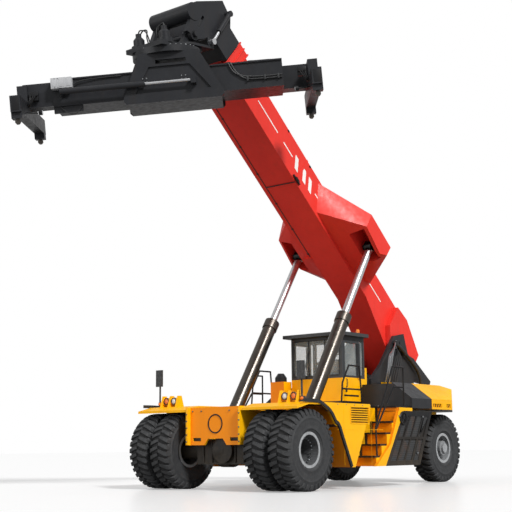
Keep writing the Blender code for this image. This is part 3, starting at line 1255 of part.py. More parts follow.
def cab_door(vehicle, label, side):
    """A cab door hinged at its rear post, its upper part a window."""
    hinge_x = CAB_HALF_WIDTH + HINGE_RADIUS + RUN
    axis = pivot("cab_door_axis_" + label, vehicle, (side * hinge_x, DOOR_REAR_Y, CAB_FLOOR))
    panel = block(CAB_HALF_WIDTH - CAB_WALL, CAB_HALF_WIDTH, DOOR_FRONT_Y + CAB_DOOR_GAP, DOOR_REAR_Y - CAB_DOOR_GAP,
                  CAB_FLOOR + CAB_DOOR_GAP, DOOR_TOP - CAB_DOOR_GAP)
    hinge = cylinder("Z", CAB_BASE_TOP, DOOR_TOP - WINDOW_MARGIN, HINGE_RADIUS, (hinge_x, DOOR_REAR_Y, 0))
    leaf = block(CAB_HALF_WIDTH - EMBED, hinge_x, DOOR_REAR_Y - 2 * HINGE_RADIUS, DOOR_REAR_Y - CAB_DOOR_GAP,
                 CAB_BASE_TOP, DOOR_TOP - WINDOW_MARGIN)
    window = block(CAB_HALF_WIDTH - CAB_WALL - CUT_OVER, CAB_HALF_WIDTH + CAB_WALL, DOOR_FRONT_Y + CAB_DOOR_GAP + DOOR_FRAME,
                   DOOR_REAR_Y - CAB_DOOR_GAP - DOOR_FRAME, DOOR_GLASS_BOTTOM, DOOR_TOP - CAB_DOOR_GAP - DOOR_FRAME)
    piece("cab_door_" + label, [panel, hinge, leaf], "grey", vehicle, cuts=[window], side=side, home=axis)


def cab_inside(vehicle):
    """The driver's seat and the steering column, both standing on the cab floor."""
    half = SEAT_WIDTH / 2
    floor = CAB_FLOOR + SEAT
    cushion = floor + SEAT_BOX_HEIGHT
    rear = SEAT_Y + SEAT_LENGTH / 2 - SEAT_BACK_THICKNESS
    pedestal = block(-half / 2, half / 2, SEAT_Y - half / 2, SEAT_Y + half / 2, floor, cushion + EMBED)
    base = block(-half, half, SEAT_Y - SEAT_LENGTH / 2, rear + EMBED, cushion, cushion + SEAT_CUSHION_HEIGHT)
    back = block(-half, half, rear, rear + SEAT_BACK_THICKNESS, cushion, cushion + SEAT_BACK_HEIGHT)
    piece("seat", [pedestal, base, back], "seat", vehicle)
    top = floor + COLUMN_HEIGHT
    post = block(-COLUMN_HALF_WIDTH, COLUMN_HALF_WIDTH, COLUMN_Y - COLUMN_HALF_WIDTH, COLUMN_Y + COLUMN_HALF_WIDTH,
                 floor, top)
    wheel = cylinder("Z", top - EMBED, top + STEERING_WHEEL_THICKNESS, STEERING_WHEEL_RADIUS, (0, COLUMN_Y, 0))
    piece("steering_column", [post, wheel], "black", vehicle)


def boom_outline():
    """The outer boom's side view in the boom frame, with its deeper tail, as (y, z) points."""
    return (
        (-BOOM_END, BOOM_UNDERSIDE),
        (-BOOM_END, BOOM_TOP),
        (0, BOOM_TOP),
        (TAIL_BACK, TAIL_TOP),
        (TAIL_BACK, 0),
        (TAIL_LOW_BACK, TAIL_LOW),
        (-FOOT_BOSS_RADIUS, TAIL_LOW / 2),
        (-TAIL_START, BOOM_UNDERSIDE),
    )


def outer_boom(frame):
    """The outer boom: a closed box beam, open at its mouth, with its foot, collar and cylinder brackets."""
    solids = [prism("X", boom_outline(), -BOOM_HALF_WIDTH, BOOM_HALF_WIDTH)]
    foot = (
        (-TAIL_FLARE_START, BOOM_UNDERSIDE + COLLAR_PROUD),
        (-FOOT_BOSS_RADIUS, TAIL_LOW / 2 + COLLAR_PROUD),
        (TAIL_LOW_BACK - COLLAR_PROUD, TAIL_LOW + COLLAR_PROUD),
        (TAIL_BACK - COLLAR_PROUD, 0),
        (TAIL_BACK - COLLAR_PROUD, TAIL_TOP - COLLAR_PROUD),
        (0, BOOM_TOP - COLLAR_PROUD),
        (-TAIL_FLARE_START, BOOM_TOP - 2 * COLLAR_PROUD),
    )
    solids.append(prism("X", foot, -FOOT_HALF_WIDTH, FOOT_HALF_WIDTH))
    grown = BOOM_HALF_WIDTH + COLLAR_PROUD
    collar = (
        (-COLLAR_END, COLLAR_LOW),
        (-COLLAR_START, COLLAR_LOW),
        (-COLLAR_START, BOOM_TOP + COLLAR_PROUD),
        (-COLLAR_END, BOOM_TOP + COLLAR_PROUD),
    )
    solids.append(prism("X", collar, -grown, grown))
    bands = [(start, start + COLLAR_RIB_LENGTH, COLLAR_RIB_PROUD) for start in COLLAR_RIBS]
    bands.append((STRAP_ALONG - STRAP_HALF_LENGTH, STRAP_ALONG + STRAP_HALF_LENGTH, STRAP_PROUD))
    for start, end, proud in bands:
        reach = BOOM_HALF_WIDTH + proud
        solids.append(block(-reach, reach, -end, -start, COLLAR_LOW, BOOM_TOP + proud))
    solids.append(block(-DUCT_REACH, -BOOM_HALF_WIDTH + EMBED, -DUCT_END, -DUCT_START, DUCT_LOW, DUCT_HIGH))
    solids.append(block(-DUCT_REACH - DUCT_FLANGE, -BOOM_HALF_WIDTH + EMBED, -DUCT_START - DUCT_FLANGE, -DUCT_START,
                        DUCT_LOW - DUCT_FLANGE, DUCT_HIGH + DUCT_FLANGE))
    for way in (-1, 1):
        solids.append(gusset(way))
    inside = BOOM_HALF_WIDTH - BOOM_WALL
    cuts = [block(-inside, inside, -COLLAR_END - CUT_OVER, -BOOM_CAVITY_START, BOOM_UNDERSIDE + BOOM_WALL,
                  BOOM_TOP - BOOM_WALL)]
    bore = (FOOT_PIN_RADIUS + RUN) / cos(pi / CYLINDER_SEGMENTS)
    cuts.append(cylinder("X", -FOOT_HALF_WIDTH - CUT_OVER, FOOT_HALF_WIDTH + CUT_OVER, bore))
    for way in (-1, 1):
        ends = sorted((way * (LIFT_X - POCKET_HALF_WIDTH), way * (LIFT_X + POCKET_HALF_WIDTH)))
        cuts.append(block(*ends, -POCKET_END, -POCKET_START, BOOM_UNDERSIDE - BOOM_TOP, POCKET_TOP))
    made = piece("outer_boom", solids, "red", frame, cuts=cuts)
    return made


def gusset(way):
    """A flared bracket from the boom's side out over a lift cylinder's eye."""
    points = []
    for shares, x_place in ((GUSSET_ROOT_SHARES, BOOM_HALF_WIDTH - EMBED), (GUSSET_TIP_SHARES, GUSSET_TIP_X)):
        for along, up in shares:
            height = BOOM_UNDERSIDE + up * (BOOM_TOP - BOOM_UNDERSIDE)
            points.append((way * x_place, -along * LIFT_EYE_ALONG, height))
    return hull(points)


def inner_boom(frame):
    """The inner boom on its wear pads at the mouth of the outer boom."""
    half = INNER_BOOM_HALF_WIDTH
    beam = block(-half, half, -HEAD_START - EMBED, -INNER_BOOM_START, INNER_BOOM_BOTTOM, INNER_BOOM_TOP)
    tail = block(-BOOM_HALF_WIDTH + BOOM_WALL + SIDE_RUN, BOOM_HALF_WIDTH - BOOM_WALL - SIDE_RUN,
                 -INNER_BOOM_START - PAD_LENGTH, -INNER_BOOM_START + SIDE_RUN,
                 BOOM_UNDERSIDE + BOOM_WALL + RUN, BOOM_TOP - BOOM_WALL - RUN)
    piece("inner_boom", [beam, tail], "red", frame)


def boom_head(frame):
    """The black boom head: a box on the inner boom, two cheek plates, the cross tube and the head pin."""
    cheek = (
        (-HEAD_START - EMBED - SEAT, BOOM_UNDERSIDE + BOOM_WALL),
        (-HEAD_THROAT_ALONG, HEAD_THROAT_UP),
        (-HEAD_PIN_ALONG + HEAD_BOSS_RADIUS, HEAD_PIN_UP),
        (-HEAD_CHIN_ALONG, HEAD_CHIN_UP),
        (-HEAD_CHEEK_ALONG, HEAD_CHEEK_UP),
        (-HEAD_CREST_ALONG, HEAD_TOP),
        (-HEAD_SHOULDER_ALONG, HEAD_SHOULDER_UP),
        (-HEAD_NAPE_ALONG, HEAD_BOX_TOP),
        (-HEAD_START - EMBED - SEAT, HEAD_BOX_TOP),
    )
    solids = []
    outer = HEAD_PLATE_INNER_X + HEAD_PLATE_THICKNESS
    for way in (-1, 1):
        ends = sorted((way * HEAD_PLATE_INNER_X, way * outer))
        slot = prism("X", [(-along, up) for along, up in HEAD_SLOT], ends[0] - CUT_OVER, ends[1] + CUT_OVER)
        solids.append(welded_shape("cheek", [prism("X", cheek, *ends)], [slot]))
        solids.append(cylinder("X", *ends, HEAD_BOSS_RADIUS, (0, -HEAD_PIN_ALONG, HEAD_PIN_UP)))
    middle = (
        (-HEAD_START - EMBED - SEAT, INNER_BOOM_BOTTOM),
        (-HEAD_THROAT_ALONG, INNER_BOOM_BOTTOM),
        (-HEAD_THROAT_ALONG - HEAD_BOSS_RADIUS, HEAD_BOX_TOP - EMBED),
        (-HEAD_START - EMBED - SEAT, HEAD_BOX_TOP - EMBED),
    )
    solids.append(prism("X", middle, -HEAD_PLATE_INNER_X - EMBED, HEAD_PLATE_INNER_X + EMBED))
    solids.append(cylinder("X", -outer - EMBED, outer + EMBED, HEAD_TUBE_RADIUS,
                           (0, -HEAD_TUBE_ALONG, HEAD_TUBE_UP), RIM_SEGMENTS))
    solids.append(cylinder("X", -outer - RAIL_WALL, outer + RAIL_WALL, HEAD_PIN_RADIUS,
                           (0, -HEAD_PIN_ALONG, HEAD_PIN_UP)))
    piece("boom_head", solids, "black", frame, smooth=True)


def yoke(frame):
    """The tilt yoke: ears on the head pin, base flange, drive housing, upper slewing ring and two drives."""
    base_low = YOKE_BASE_TOP - YOKE_BASE_THICKNESS
    plate = (
        (-YOKE_BASE_HALF_WIDTH, YOKE_BASE_REAR),
        (YOKE_BASE_HALF_WIDTH, YOKE_BASE_REAR),
        (YOKE_BASE_HALF_WIDTH, YOKE_CORNER_Y),
        (YOKE_CORNER_HALF_WIDTH, YOKE_BASE_FRONT),
        (-YOKE_CORNER_HALF_WIDTH, YOKE_BASE_FRONT),
        (-YOKE_BASE_HALF_WIDTH, YOKE_CORNER_Y),
    )
    solids = [prism("Z", plate, base_low, YOKE_BASE_TOP)]
    ear_outer = HEAD_PLATE_INNER_X - SIDE_RUN
    ear = (
        (-YOKE_EAR_FOOT_HALF_LENGTH, YOKE_BASE_TOP - EMBED),
        (YOKE_EAR_FOOT_HALF_LENGTH, YOKE_BASE_TOP - EMBED),
        (HEAD_BOSS_RADIUS * sin(pi / 4), HEAD_BOSS_RADIUS * cos(pi / 4)),
        (-HEAD_BOSS_RADIUS * sin(pi / 4), HEAD_BOSS_RADIUS * cos(pi / 4)),
    )
    for way in (-1, 1):
        ends = sorted((way * (ear_outer - YOKE_EAR_THICKNESS), way * ear_outer))
        solids.append(prism("X", ear, *ends))
        solids.append(cylinder("X", *ends, HEAD_BOSS_RADIUS))
        lug_inner = HEAD_PLATE_INNER_X + HEAD_PLATE_THICKNESS + 2 * RUN + SIDE_RUN
        lug_ends = sorted((way * lug_inner, way * DAMPER_LUG_OUTER_X))
        solids.append(block(*lug_ends, DAMPER_YOKE_BACK - DAMPER_LUG_HALF_LENGTH,
                            YOKE_BASE_REAR, YOKE_BASE_TOP - EMBED, DAMPER_LUG_TOP))
    housing_half = HOUSING_HALF_WIDTH
    solids.append(block(-housing_half, housing_half, HOUSING_FRONT, HOUSING_REAR, RING_TOP - EMBED, base_low + EMBED))
    ring_profile = ((RING_BOTTOM, 0), (RING_BOTTOM, RING_RADIUS), (RING_TOP, RING_RADIUS), (RING_TOP, 0))
    solids.append(turned("Z", ring_profile, RING_SEGMENTS, (0, -RING_FORWARD, 0)))
    for way in (-1, 1):
        drive = (
            (base_low - EMBED, 0),
            (base_low - EMBED, DRIVE_FLANGE_RADIUS),
            (DRIVE_FLANGE_TOP, DRIVE_FLANGE_RADIUS),
            (DRIVE_FLANGE_TOP, DRIVE_GEAR_RADIUS),
            (DRIVE_GEAR_TOP, DRIVE_GEAR_RADIUS),
            (DRIVE_CONE_TOP, DRIVE_CONE_RADIUS),
            (DRIVE_CONE_TOP, DRIVE_MOTOR_RADIUS),
            (DRIVE_MOTOR_TOP, DRIVE_MOTOR_RADIUS),
            (DRIVE_MOTOR_TOP, 0),
        )
        solids.append(turned("Z", drive, CYLINDER_SEGMENTS, (way * DRIVE_X, -DRIVE_FORWARD, 0)))
    bore = (HEAD_PIN_RADIUS + RUN) / cos(pi / CYLINDER_SEGMENTS)
    cuts = [cylinder("X", -HEAD_PLATE_INNER_X, HEAD_PLATE_INNER_X, bore)]
    piece("tilt_yoke", solids, "black", frame, cuts=cuts, smooth=True)


def carriage(frame):
    """The slewing carriage: the lower ring plate, two trapezoid frames round the main beam and the shift rod."""
    plate_low = -RUN - CARRIAGE_PLATE_HEIGHT
    top_left = CARRIAGE_MIDDLE - CARRIAGE_TOP_HALF_LENGTH
    top_right = CARRIAGE_MIDDLE + CARRIAGE_TOP_HALF_LENGTH
    foot_left = CARRIAGE_FOOT_MIDDLE - CARRIAGE_FOOT_HALF_LENGTH
    foot_right = CARRIAGE_FOOT_MIDDLE + CARRIAGE_FOOT_HALF_LENGTH
    solids = [cylinder("Z", plate_low, -RUN, RING_RADIUS, segments=RING_SEGMENTS)]
    solids.append(block(top_left, top_right, -CARRIAGE_HALF_DEPTH, CARRIAGE_HALF_DEPTH,
                        plate_low - CARRIAGE_PLATE_HEIGHT, plate_low + EMBED))
    face = (
        (top_left, plate_low),
        (top_right, plate_low),
        (foot_right, CARRIAGE_SHELF),
        (foot_right, CARRIAGE_BOTTOM + CARRIAGE_CHAMFER),
        (foot_right - CARRIAGE_CHAMFER, CARRIAGE_BOTTOM),
        (foot_left + CARRIAGE_CHAMFER, CARRIAGE_BOTTOM),
        (foot_left, CARRIAGE_BOTTOM + CARRIAGE_CHAMFER),
        (foot_left, CARRIAGE_SHELF),
    )
    cuts = []
    for way in (-1, 1):
        inner = way * (CARRIAGE_HALF_DEPTH - CARRIAGE_SIDE)
        outer = way * CARRIAGE_HALF_DEPTH
        solids.append(prism("Y", face, *sorted((inner, outer))))
        cuts.append(prism("Y", CARRIAGE_WINDOW, *sorted((outer - way * CARRIAGE_RECESS, outer + way * CUT_OVER))))
        cuts.append(prism("Y", CARRIAGE_SLOT, *sorted((inner - way * CUT_OVER, outer + way * CUT_OVER))))
    solids.append(block(foot_left + CARRIAGE_CHAMFER, foot_right - CARRIAGE_CHAMFER, -CARRIAGE_HALF_DEPTH + EMBED,
                        CARRIAGE_HALF_DEPTH - EMBED, CARRIAGE_BOTTOM, BEAM_BOTTOM - RUN))
    rod_centre = (0, SHIFT_CYLINDER_Y, SHIFT_CYLINDER_Z)
    boss_end = SHIFT_ROD_END + SHIFT_BRACKET_LENGTH / 2
    solids.append(cylinder("X", SHIFT_ROD_START, SHIFT_ROD_END, SHIFT_ROD_RADIUS, rod_centre))
    boss = block(SHIFT_ROD_END - SHIFT_BRACKET_LENGTH / 2, boss_end, SHIFT_CYLINDER_Y - SHIFT_BARREL_RADIUS,
                 -CARRIAGE_HALF_DEPTH + CARRIAGE_SIDE - EMBED, SHIFT_CYLINDER_Z - SHIFT_BRACKET_HALF_HEIGHT,
                 SHIFT_CYLINDER_Z + SHIFT_BRACKET_HALF_HEIGHT)
    body = welded_shape("carriage_body", solids, cuts)
    piece("slewing_carriage", [body, boss], "black", frame, smooth=True)


def main_beam(frame):
    """The main beam: two long tubes side by side for the arms, its top tray, skid, control box and shift barrel."""
    body = block(-BEAM_HALF_LENGTH, BEAM_HALF_LENGTH, -BEAM_HALF_DEPTH, BEAM_HALF_DEPTH, BEAM_BOTTOM, BEAM_TOP)
    cuts = []
    for way in (-1, 1):
        ends = sorted((way * ARM_HALF_GAP / 2, way * (BEAM_HALF_DEPTH - BEAM_WALL)))
        cuts.append(block(-BEAM_HALF_LENGTH - CUT_OVER, BEAM_HALF_LENGTH + CUT_OVER, *ends,
                          BEAM_BOTTOM + BEAM_WALL, BEAM_TOP - BEAM_WALL))
    solids = [body]
    solids.append(block(TRAY_START, BEAM_HALF_LENGTH, -TRAY_HALF_DEPTH, TRAY_HALF_DEPTH, BEAM_TOP - EMBED,
                        BEAM_TOP + TRAY_HEIGHT))
    solids.append(block(-BEAM_HALF_LENGTH, -SKID_START, -BEAM_HALF_DEPTH, -BEAM_HALF_DEPTH + SKID_DEPTH,
                        BEAM_BOTTOM - SKID_HEIGHT, BEAM_BOTTOM + EMBED))
    for low, back in ((BEAM_BOTTOM, FLANGE_PROUD), (BEAM_TOP - FLANGE_PROUD, -EMBED)):
        solids.append(block(-BEAM_HALF_LENGTH, BEAM_HALF_LENGTH, -BEAM_HALF_DEPTH - FLANGE_PROUD,
                            BEAM_HALF_DEPTH + back, low, low + FLANGE_PROUD))
    solids.append(block(-CONTROL_BOX_END, -CONTROL_BOX_START, -BEAM_HALF_DEPTH - CONTROL_BOX_PROUD,
                        -BEAM_HALF_DEPTH + EMBED, CONTROL_BOX_LOW, BEAM_TOP - EMBED))
    centre = (0, SHIFT_CYLINDER_Y, SHIFT_CYLINDER_Z)
    bore = (SHIFT_ROD_RADIUS + RUN) / cos(pi / CYLINDER_SEGMENTS)
    barrel = turned("X", (
        (SHIFT_BARREL_START, 0),
        (SHIFT_BARREL_START, SHIFT_BARREL_RADIUS),
        (SHIFT_BARREL_END, SHIFT_BARREL_RADIUS),
        (SHIFT_BARREL_END, bore),
        (SHIFT_BARREL_START + SHIFT_BRACKET_LENGTH / 2, bore),
        (SHIFT_BARREL_START + SHIFT_BRACKET_LENGTH / 2, 0),
    ), CYLINDER_SEGMENTS, centre)
    bracket = block(SHIFT_BARREL_START, SHIFT_BARREL_START + SHIFT_BRACKET_LENGTH / 2 - EMBED, SHIFT_CYLINDER_Y,
                    -BEAM_HALF_DEPTH + EMBED, SHIFT_CYLINDER_Z - SHIFT_BRACKET_HALF_HEIGHT,
                    SHIFT_CYLINDER_Z + SHIFT_BRACKET_HALF_HEIGHT)
    tubes = welded_shape("beam_tubes", solids, cuts)
    piece("main_beam", [tubes, barrel, bracket], "black", frame)


def spreader_arm(frame, label, side):
    """A telescoping arm with its end beam, corner housings and their bores for the twistlocks."""
    low = BEAM_BOTTOM + BEAM_WALL + RUN
    high = BEAM_TOP - BEAM_WALL - ARM_RUN
    inner = ARM_HALF_GAP / 2 + ARM_RUN
    outer = BEAM_HALF_DEPTH - BEAM_WALL - ARM_RUN
    ends = sorted((inner * side, outer * side))
    solids = [block(-ARM_INNER_END, TWISTLOCK_X, *ends, low, high)]
    left = TWISTLOCK_X - END_BEAM_HALF_WIDTH
    right = TWISTLOCK_X + END_BEAM_HALF_WIDTH
    solids.append(block(left, right, -END_BEAM_HALF_LENGTH, END_BEAM_HALF_LENGTH, END_BEAM_BOTTOM, END_BEAM_TOP))
    solids.append(block(left, right, -END_HEAD_HALF_DEPTH, END_HEAD_HALF_DEPTH, END_BEAM_BOTTOM, END_HEAD_TOP))
    cuts = []
    for way in (-1, 1):
        centre = way * TWISTLOCK_Y
        solids.append(block(TWISTLOCK_X - CORNER_HALF_SIZE + EMBED / 2, TWISTLOCK_X + CORNER_HALF_SIZE - EMBED / 2,
                            centre - CORNER_HALF_SIZE + EMBED, centre + CORNER_HALF_SIZE - EMBED,
                            CORNER_BOTTOM, END_BEAM_BOTTOM + EMBED))
        cuts.append(cylinder("Z", CORNER_BOTTOM - CUT_OVER, CORNER_BOTTOM + LOCK_TURN_HEIGHT, LOCK_BORE_RADIUS,
                             (TWISTLOCK_X, centre, 0)))
    piece("spreader_arm_" + label, solids, "black", frame, cuts=cuts, side=side)


def twistlock(arm_frame, label, side, end, way):
    """A twistlock: its shank in the corner's bore and its pointed head below."""
    axis = pivot("twistlock_axis_" + label + "_" + end, arm_frame, (side * TWISTLOCK_X, way * TWISTLOCK_Y, 0))
    shank_top = CORNER_BOTTOM + LOCK_TURN_HEIGHT - RUN
    head_top = CORNER_BOTTOM - LOCK_DROP
    head_low = head_top - LOCK_HEAD_HEIGHT
    shank = cylinder("Z", head_top - EMBED, shank_top, LOCK_SHANK_RADIUS)
    head = []
    for height, share in ((head_top, 1), (head_low, 1), (head_low - LOCK_TIP_HEIGHT, LOCK_TIP_SHARE)):
        for x_way in (-1, 1):
            for y_way in (-1, 1):
                head.append((x_way * LOCK_HEAD_HALF_LENGTH * share, y_way * LOCK_HEAD_HALF_WIDTH * share, height))
    piece("twistlock_" + label + "_" + end, [shank, hull(head)], "chrome", axis, side=side)


def lift_cylinder(vehicle, label, side):
    """A lift cylinder: its barrel on the chassis foot and its rod up to the boom's bracket."""
    angle = radians(BOOM_ANGLE_DEG)
    eye_y = FOOT_PIN_Y - LIFT_EYE_ALONG * cos(angle) + LIFT_EYE_UP * sin(angle)
    eye_z = FOOT_PIN_Z + LIFT_EYE_ALONG * sin(angle) + LIFT_EYE_UP * cos(angle)
    reach = Vector((0, eye_y - LIFT_FOOT_Y, eye_z - LIFT_FOOT_Z))
    lean = Vector((0, 0, 1)).rotation_difference(reach).to_euler()
    foot = pivot("lift_foot_" + label, vehicle, (side * LIFT_X, LIFT_FOOT_Y, LIFT_FOOT_Z), lean)
    mouth = BARREL_LENGTH
    bore = (ROD_RADIUS + RUN) / cos(pi / CYLINDER_SEGMENTS)
    tube = turned("Z", (
        (0, 0),
        (0, BARREL_RADIUS),
        (mouth - BARREL_HEAD_LENGTH, BARREL_RADIUS),
        (mouth - BARREL_HEAD_LENGTH, BARREL_HEAD_RADIUS),
        (mouth, BARREL_HEAD_RADIUS),
        (mouth, bore),
        (BARREL_BASE, bore),
        (BARREL_BASE, 0),
    ), CYLINDER_SEGMENTS)
    eye = cylinder("X", -EYE_HALF_WIDTH, EYE_HALF_WIDTH, EYE_RADIUS)
    trim = EYE_HALF_WIDTH
    cuts = []
    for way in (-1, 1):
        ends = sorted((way * trim, way * (BARREL_RADIUS + CUT_OVER)))
        cuts.append(block(*ends, -BARREL_RADIUS - CUT_OVER, BARREL_RADIUS + CUT_OVER, -CUT_OVER, FOOT_EAR_RADIUS + SIDE_RUN))
    piece("lift_barrel_" + label, [tube, eye], "grey", foot, cuts=cuts, side=side, smooth=True)
    rod_frame = pivot("lift_rod_axis_" + label, foot, (0, 0, reach.length))
    tail = -(reach.length - mouth) - ROD_TAIL_LENGTH
    rod = cylinder("Z", tail, 0, ROD_RADIUS)
    rod_eye = cylinder("X", -EYE_HALF_WIDTH, EYE_HALF_WIDTH, EYE_RADIUS)
    pin_reach = POCKET_HALF_WIDTH - RUN
    pin = cylinder("X", -pin_reach, pin_reach, LIFT_PIN_RADIUS)
    piece("lift_rod_" + label, [rod, rod_eye, pin], "chrome", rod_frame, side=side, smooth=True)


def damper(head_frame, label, side):
    """A damping cylinder: its barrel on the head's cheek and its rod down to the yoke's lug."""
    angle = radians(BOOM_ANGLE_DEG)
    tilt = radians(YOKE_TILT_DEG)
    lug_y = DAMPER_YOKE_BACK * cos(tilt) - DAMPER_YOKE_UP * sin(tilt)
    lug_z = DAMPER_YOKE_BACK * sin(tilt) + DAMPER_YOKE_UP * cos(tilt)
    local_y = lug_y * cos(angle) - lug_z * sin(angle) - HEAD_PIN_ALONG
    local_z = lug_y * sin(angle) + lug_z * cos(angle) + HEAD_PIN_UP
    reach = Vector((0, local_y + DAMPER_HEAD_ALONG, local_z - DAMPER_HEAD_UP))
    lean = Vector((0, 0, -1)).rotation_difference(reach).to_euler()
    top = pivot("damper_top_" + label, head_frame, (side * DAMPER_X, -DAMPER_HEAD_ALONG, DAMPER_HEAD_UP), lean)
    bore = (DAMPER_ROD_RADIUS + RUN) / cos(pi / CYLINDER_SEGMENTS)
    face = HEAD_PLATE_INNER_X + HEAD_PLATE_THICKNESS + RUN - DAMPER_X
    tube = turned("Z", (
        (0, 0),
        (0, DAMPER_BARREL_RADIUS),
        (-DAMPER_BARREL_LENGTH, DAMPER_BARREL_RADIUS),
        (-DAMPER_BARREL_LENGTH, bore),
        (-DAMPER_BARREL_BASE, bore),
        (-DAMPER_BARREL_BASE, 0),
    ), CYLINDER_SEGMENTS)
    eye = cylinder("X", face, DAMPER_EYE_HALF_WIDTH, DAMPER_EYE_RADIUS)
    piece("damper_barrel_" + label, [tube, eye], "grey", top, side=side, smooth=True)
    rod_frame = pivot("damper_rod_axis_" + label, top, (0, 0, -reach.length))
    seat = DAMPER_LUG_OUTER_X + RUN - DAMPER_X
    rod = cylinder("Z", 0, DAMPER_ROD_LENGTH, DAMPER_ROD_RADIUS)
    rod_eye = cylinder("X", seat, DAMPER_EYE_HALF_WIDTH, DAMPER_EYE_RADIUS)
    piece("damper_rod_" + label, [rod, rod_eye], "chrome", rod_frame, side=side, smooth=True)


def mirror(vehicle, label, side):
    """A mirror on a post that stands on the front fender."""
    foot = DECK_TOP + SEAT
    post = cylinder("Z", foot, MIRROR_POST_TOP, MIRROR_POST_RADIUS, (MIRROR_X, MIRROR_Y, 0), CYLINDER_SEGMENTS // 2)
    glass = block(MIRROR_X - MIRROR_WIDTH / 2, MIRROR_X + MIRROR_WIDTH / 2, MIRROR_Y - MIRROR_DEPTH, MIRROR_Y,
                  MIRROR_POST_TOP - MIRROR_HEIGHT / 2, MIRROR_POST_TOP + MIRROR_HEIGHT / 2)
    sole = block(MIRROR_X - MIRROR_DEPTH, MIRROR_X + MIRROR_DEPTH, MIRROR_Y - MIRROR_DEPTH, MIRROR_Y + MIRROR_DEPTH,
                 foot, foot + EMBED)
    piece("mirror_" + label, [post, glass, sole], "black", vehicle, side=side)


def build():
    machine = pivot("machine", None, (0, -ORIGIN_BACK, 0))
    chassis(machine)
    engine(machine)
    front_axle(machine)
    rear_axle(machine)
    towers(machine)
    counterweight(machine)
    cab_base(machine)
    cab_shell(machine)
    cab_roof(machine)
    cab_inside(machine)
    boom_frame = pivot("boom_foot", machine, (0, FOOT_PIN_Y, FOOT_PIN_Z), (-radians(BOOM_ANGLE_DEG), 0, 0))
    outer_boom(boom_frame)
    inner_frame = pivot("boom_slide", boom_frame, (0, 0, 0))
    inner_boom(inner_frame)
    boom_head(inner_frame)
    head_turn = (radians(BOOM_ANGLE_DEG + YOKE_TILT_DEG), 0, 0)
    yoke_frame = pivot("head_pin", inner_frame, (0, -HEAD_PIN_ALONG, HEAD_PIN_UP), head_turn)
    yoke(yoke_frame)
    slew_frame = pivot("slew_axis", yoke_frame, (0, -RING_FORWARD, RING_BOTTOM), (0, 0, radians(SLEW_ANGLE_DEG)))
    carriage(slew_frame)
    beam_frame = pivot("side_shift", slew_frame, (0, 0, 0))
    main_beam(beam_frame)
    for label, side in SIDES:
        front_wheels(machine, label, side)
        rear_wheel(machine, label, side)
        fender(machine, label, side)
        side_body(machine, label, side)
        stair_treads(machine, label, side)
        mesh_panel(machine, label, side)
        hood(machine, label, side)
        engine_door(machine, label, side)
        cab_door(machine, label, side)
        mirror(machine, label, side)
        lift_cylinder(machine, label, side)
        damper(inner_frame, label, side)
        arm_frame = pivot("arm_slide_" + label, beam_frame, (0, 0, 0))
        spreader_arm(arm_frame, label, side)
        for end, way in (("near", -1), ("far", 1)):
            twistlock(arm_frame, label, side, end, way)


clear_scene()
MATERIALS = {name: make_finish(name) for name in FINISHES}
build()
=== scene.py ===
"""Looks of the reach stacker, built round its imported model. Lengths are in metres.

Places on the vehicle are given from the front axle: x to its left, y to its rear, z up.
Boom places are (x, -along, up) from the foot pin, spreader places lie in its slewed frame.
"""

import math

import bmesh
import bpy
from mathutils import Matrix, Vector


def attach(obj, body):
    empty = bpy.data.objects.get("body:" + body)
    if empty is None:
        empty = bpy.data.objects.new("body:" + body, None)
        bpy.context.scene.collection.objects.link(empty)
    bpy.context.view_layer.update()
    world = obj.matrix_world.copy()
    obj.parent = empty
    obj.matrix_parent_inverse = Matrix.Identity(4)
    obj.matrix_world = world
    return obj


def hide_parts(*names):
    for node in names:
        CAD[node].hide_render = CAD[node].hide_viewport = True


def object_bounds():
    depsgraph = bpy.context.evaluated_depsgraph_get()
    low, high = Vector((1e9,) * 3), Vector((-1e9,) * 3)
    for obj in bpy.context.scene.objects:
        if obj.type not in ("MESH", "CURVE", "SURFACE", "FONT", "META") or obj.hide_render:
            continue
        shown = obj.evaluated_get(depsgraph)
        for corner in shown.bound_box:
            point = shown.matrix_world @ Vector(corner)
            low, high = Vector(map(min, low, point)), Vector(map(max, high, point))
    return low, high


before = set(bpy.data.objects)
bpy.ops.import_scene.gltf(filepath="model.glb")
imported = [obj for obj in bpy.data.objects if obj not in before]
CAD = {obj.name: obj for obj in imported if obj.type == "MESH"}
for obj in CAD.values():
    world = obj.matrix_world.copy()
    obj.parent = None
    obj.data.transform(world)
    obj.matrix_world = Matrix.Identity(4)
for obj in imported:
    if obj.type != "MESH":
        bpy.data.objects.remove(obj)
CAD_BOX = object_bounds()

# Where each part of the vehicle has its own frame
AXLE_TO_ORIGIN = 1.2712
FOOT_PIN = (0, 5.75, 3.30)
BOOM_RAISE = 40
HEAD_PIN = (0, -9.46, -0.22)
YOKE_LEAN = 48
SLEW_CENTRE = (0, -0.315, -0.40)
SLEW_TURN = 39
VEHICLE = Matrix.Translation((0, -AXLE_TO_ORIGIN, 0))
BOOM = VEHICLE @ Matrix.Translation(FOOT_PIN) @ Matrix.Rotation(math.radians(-BOOM_RAISE), 4, "X")
YOKE = BOOM @ Matrix.Translation(HEAD_PIN) @ Matrix.Rotation(math.radians(YOKE_LEAN), 4, "X")
SPREADER = YOKE @ Matrix.Translation(SLEW_CENTRE) @ Matrix.Rotation(math.radians(SLEW_TURN), 4, "Z")

SIDES = (("left", 1), ("right", -1))

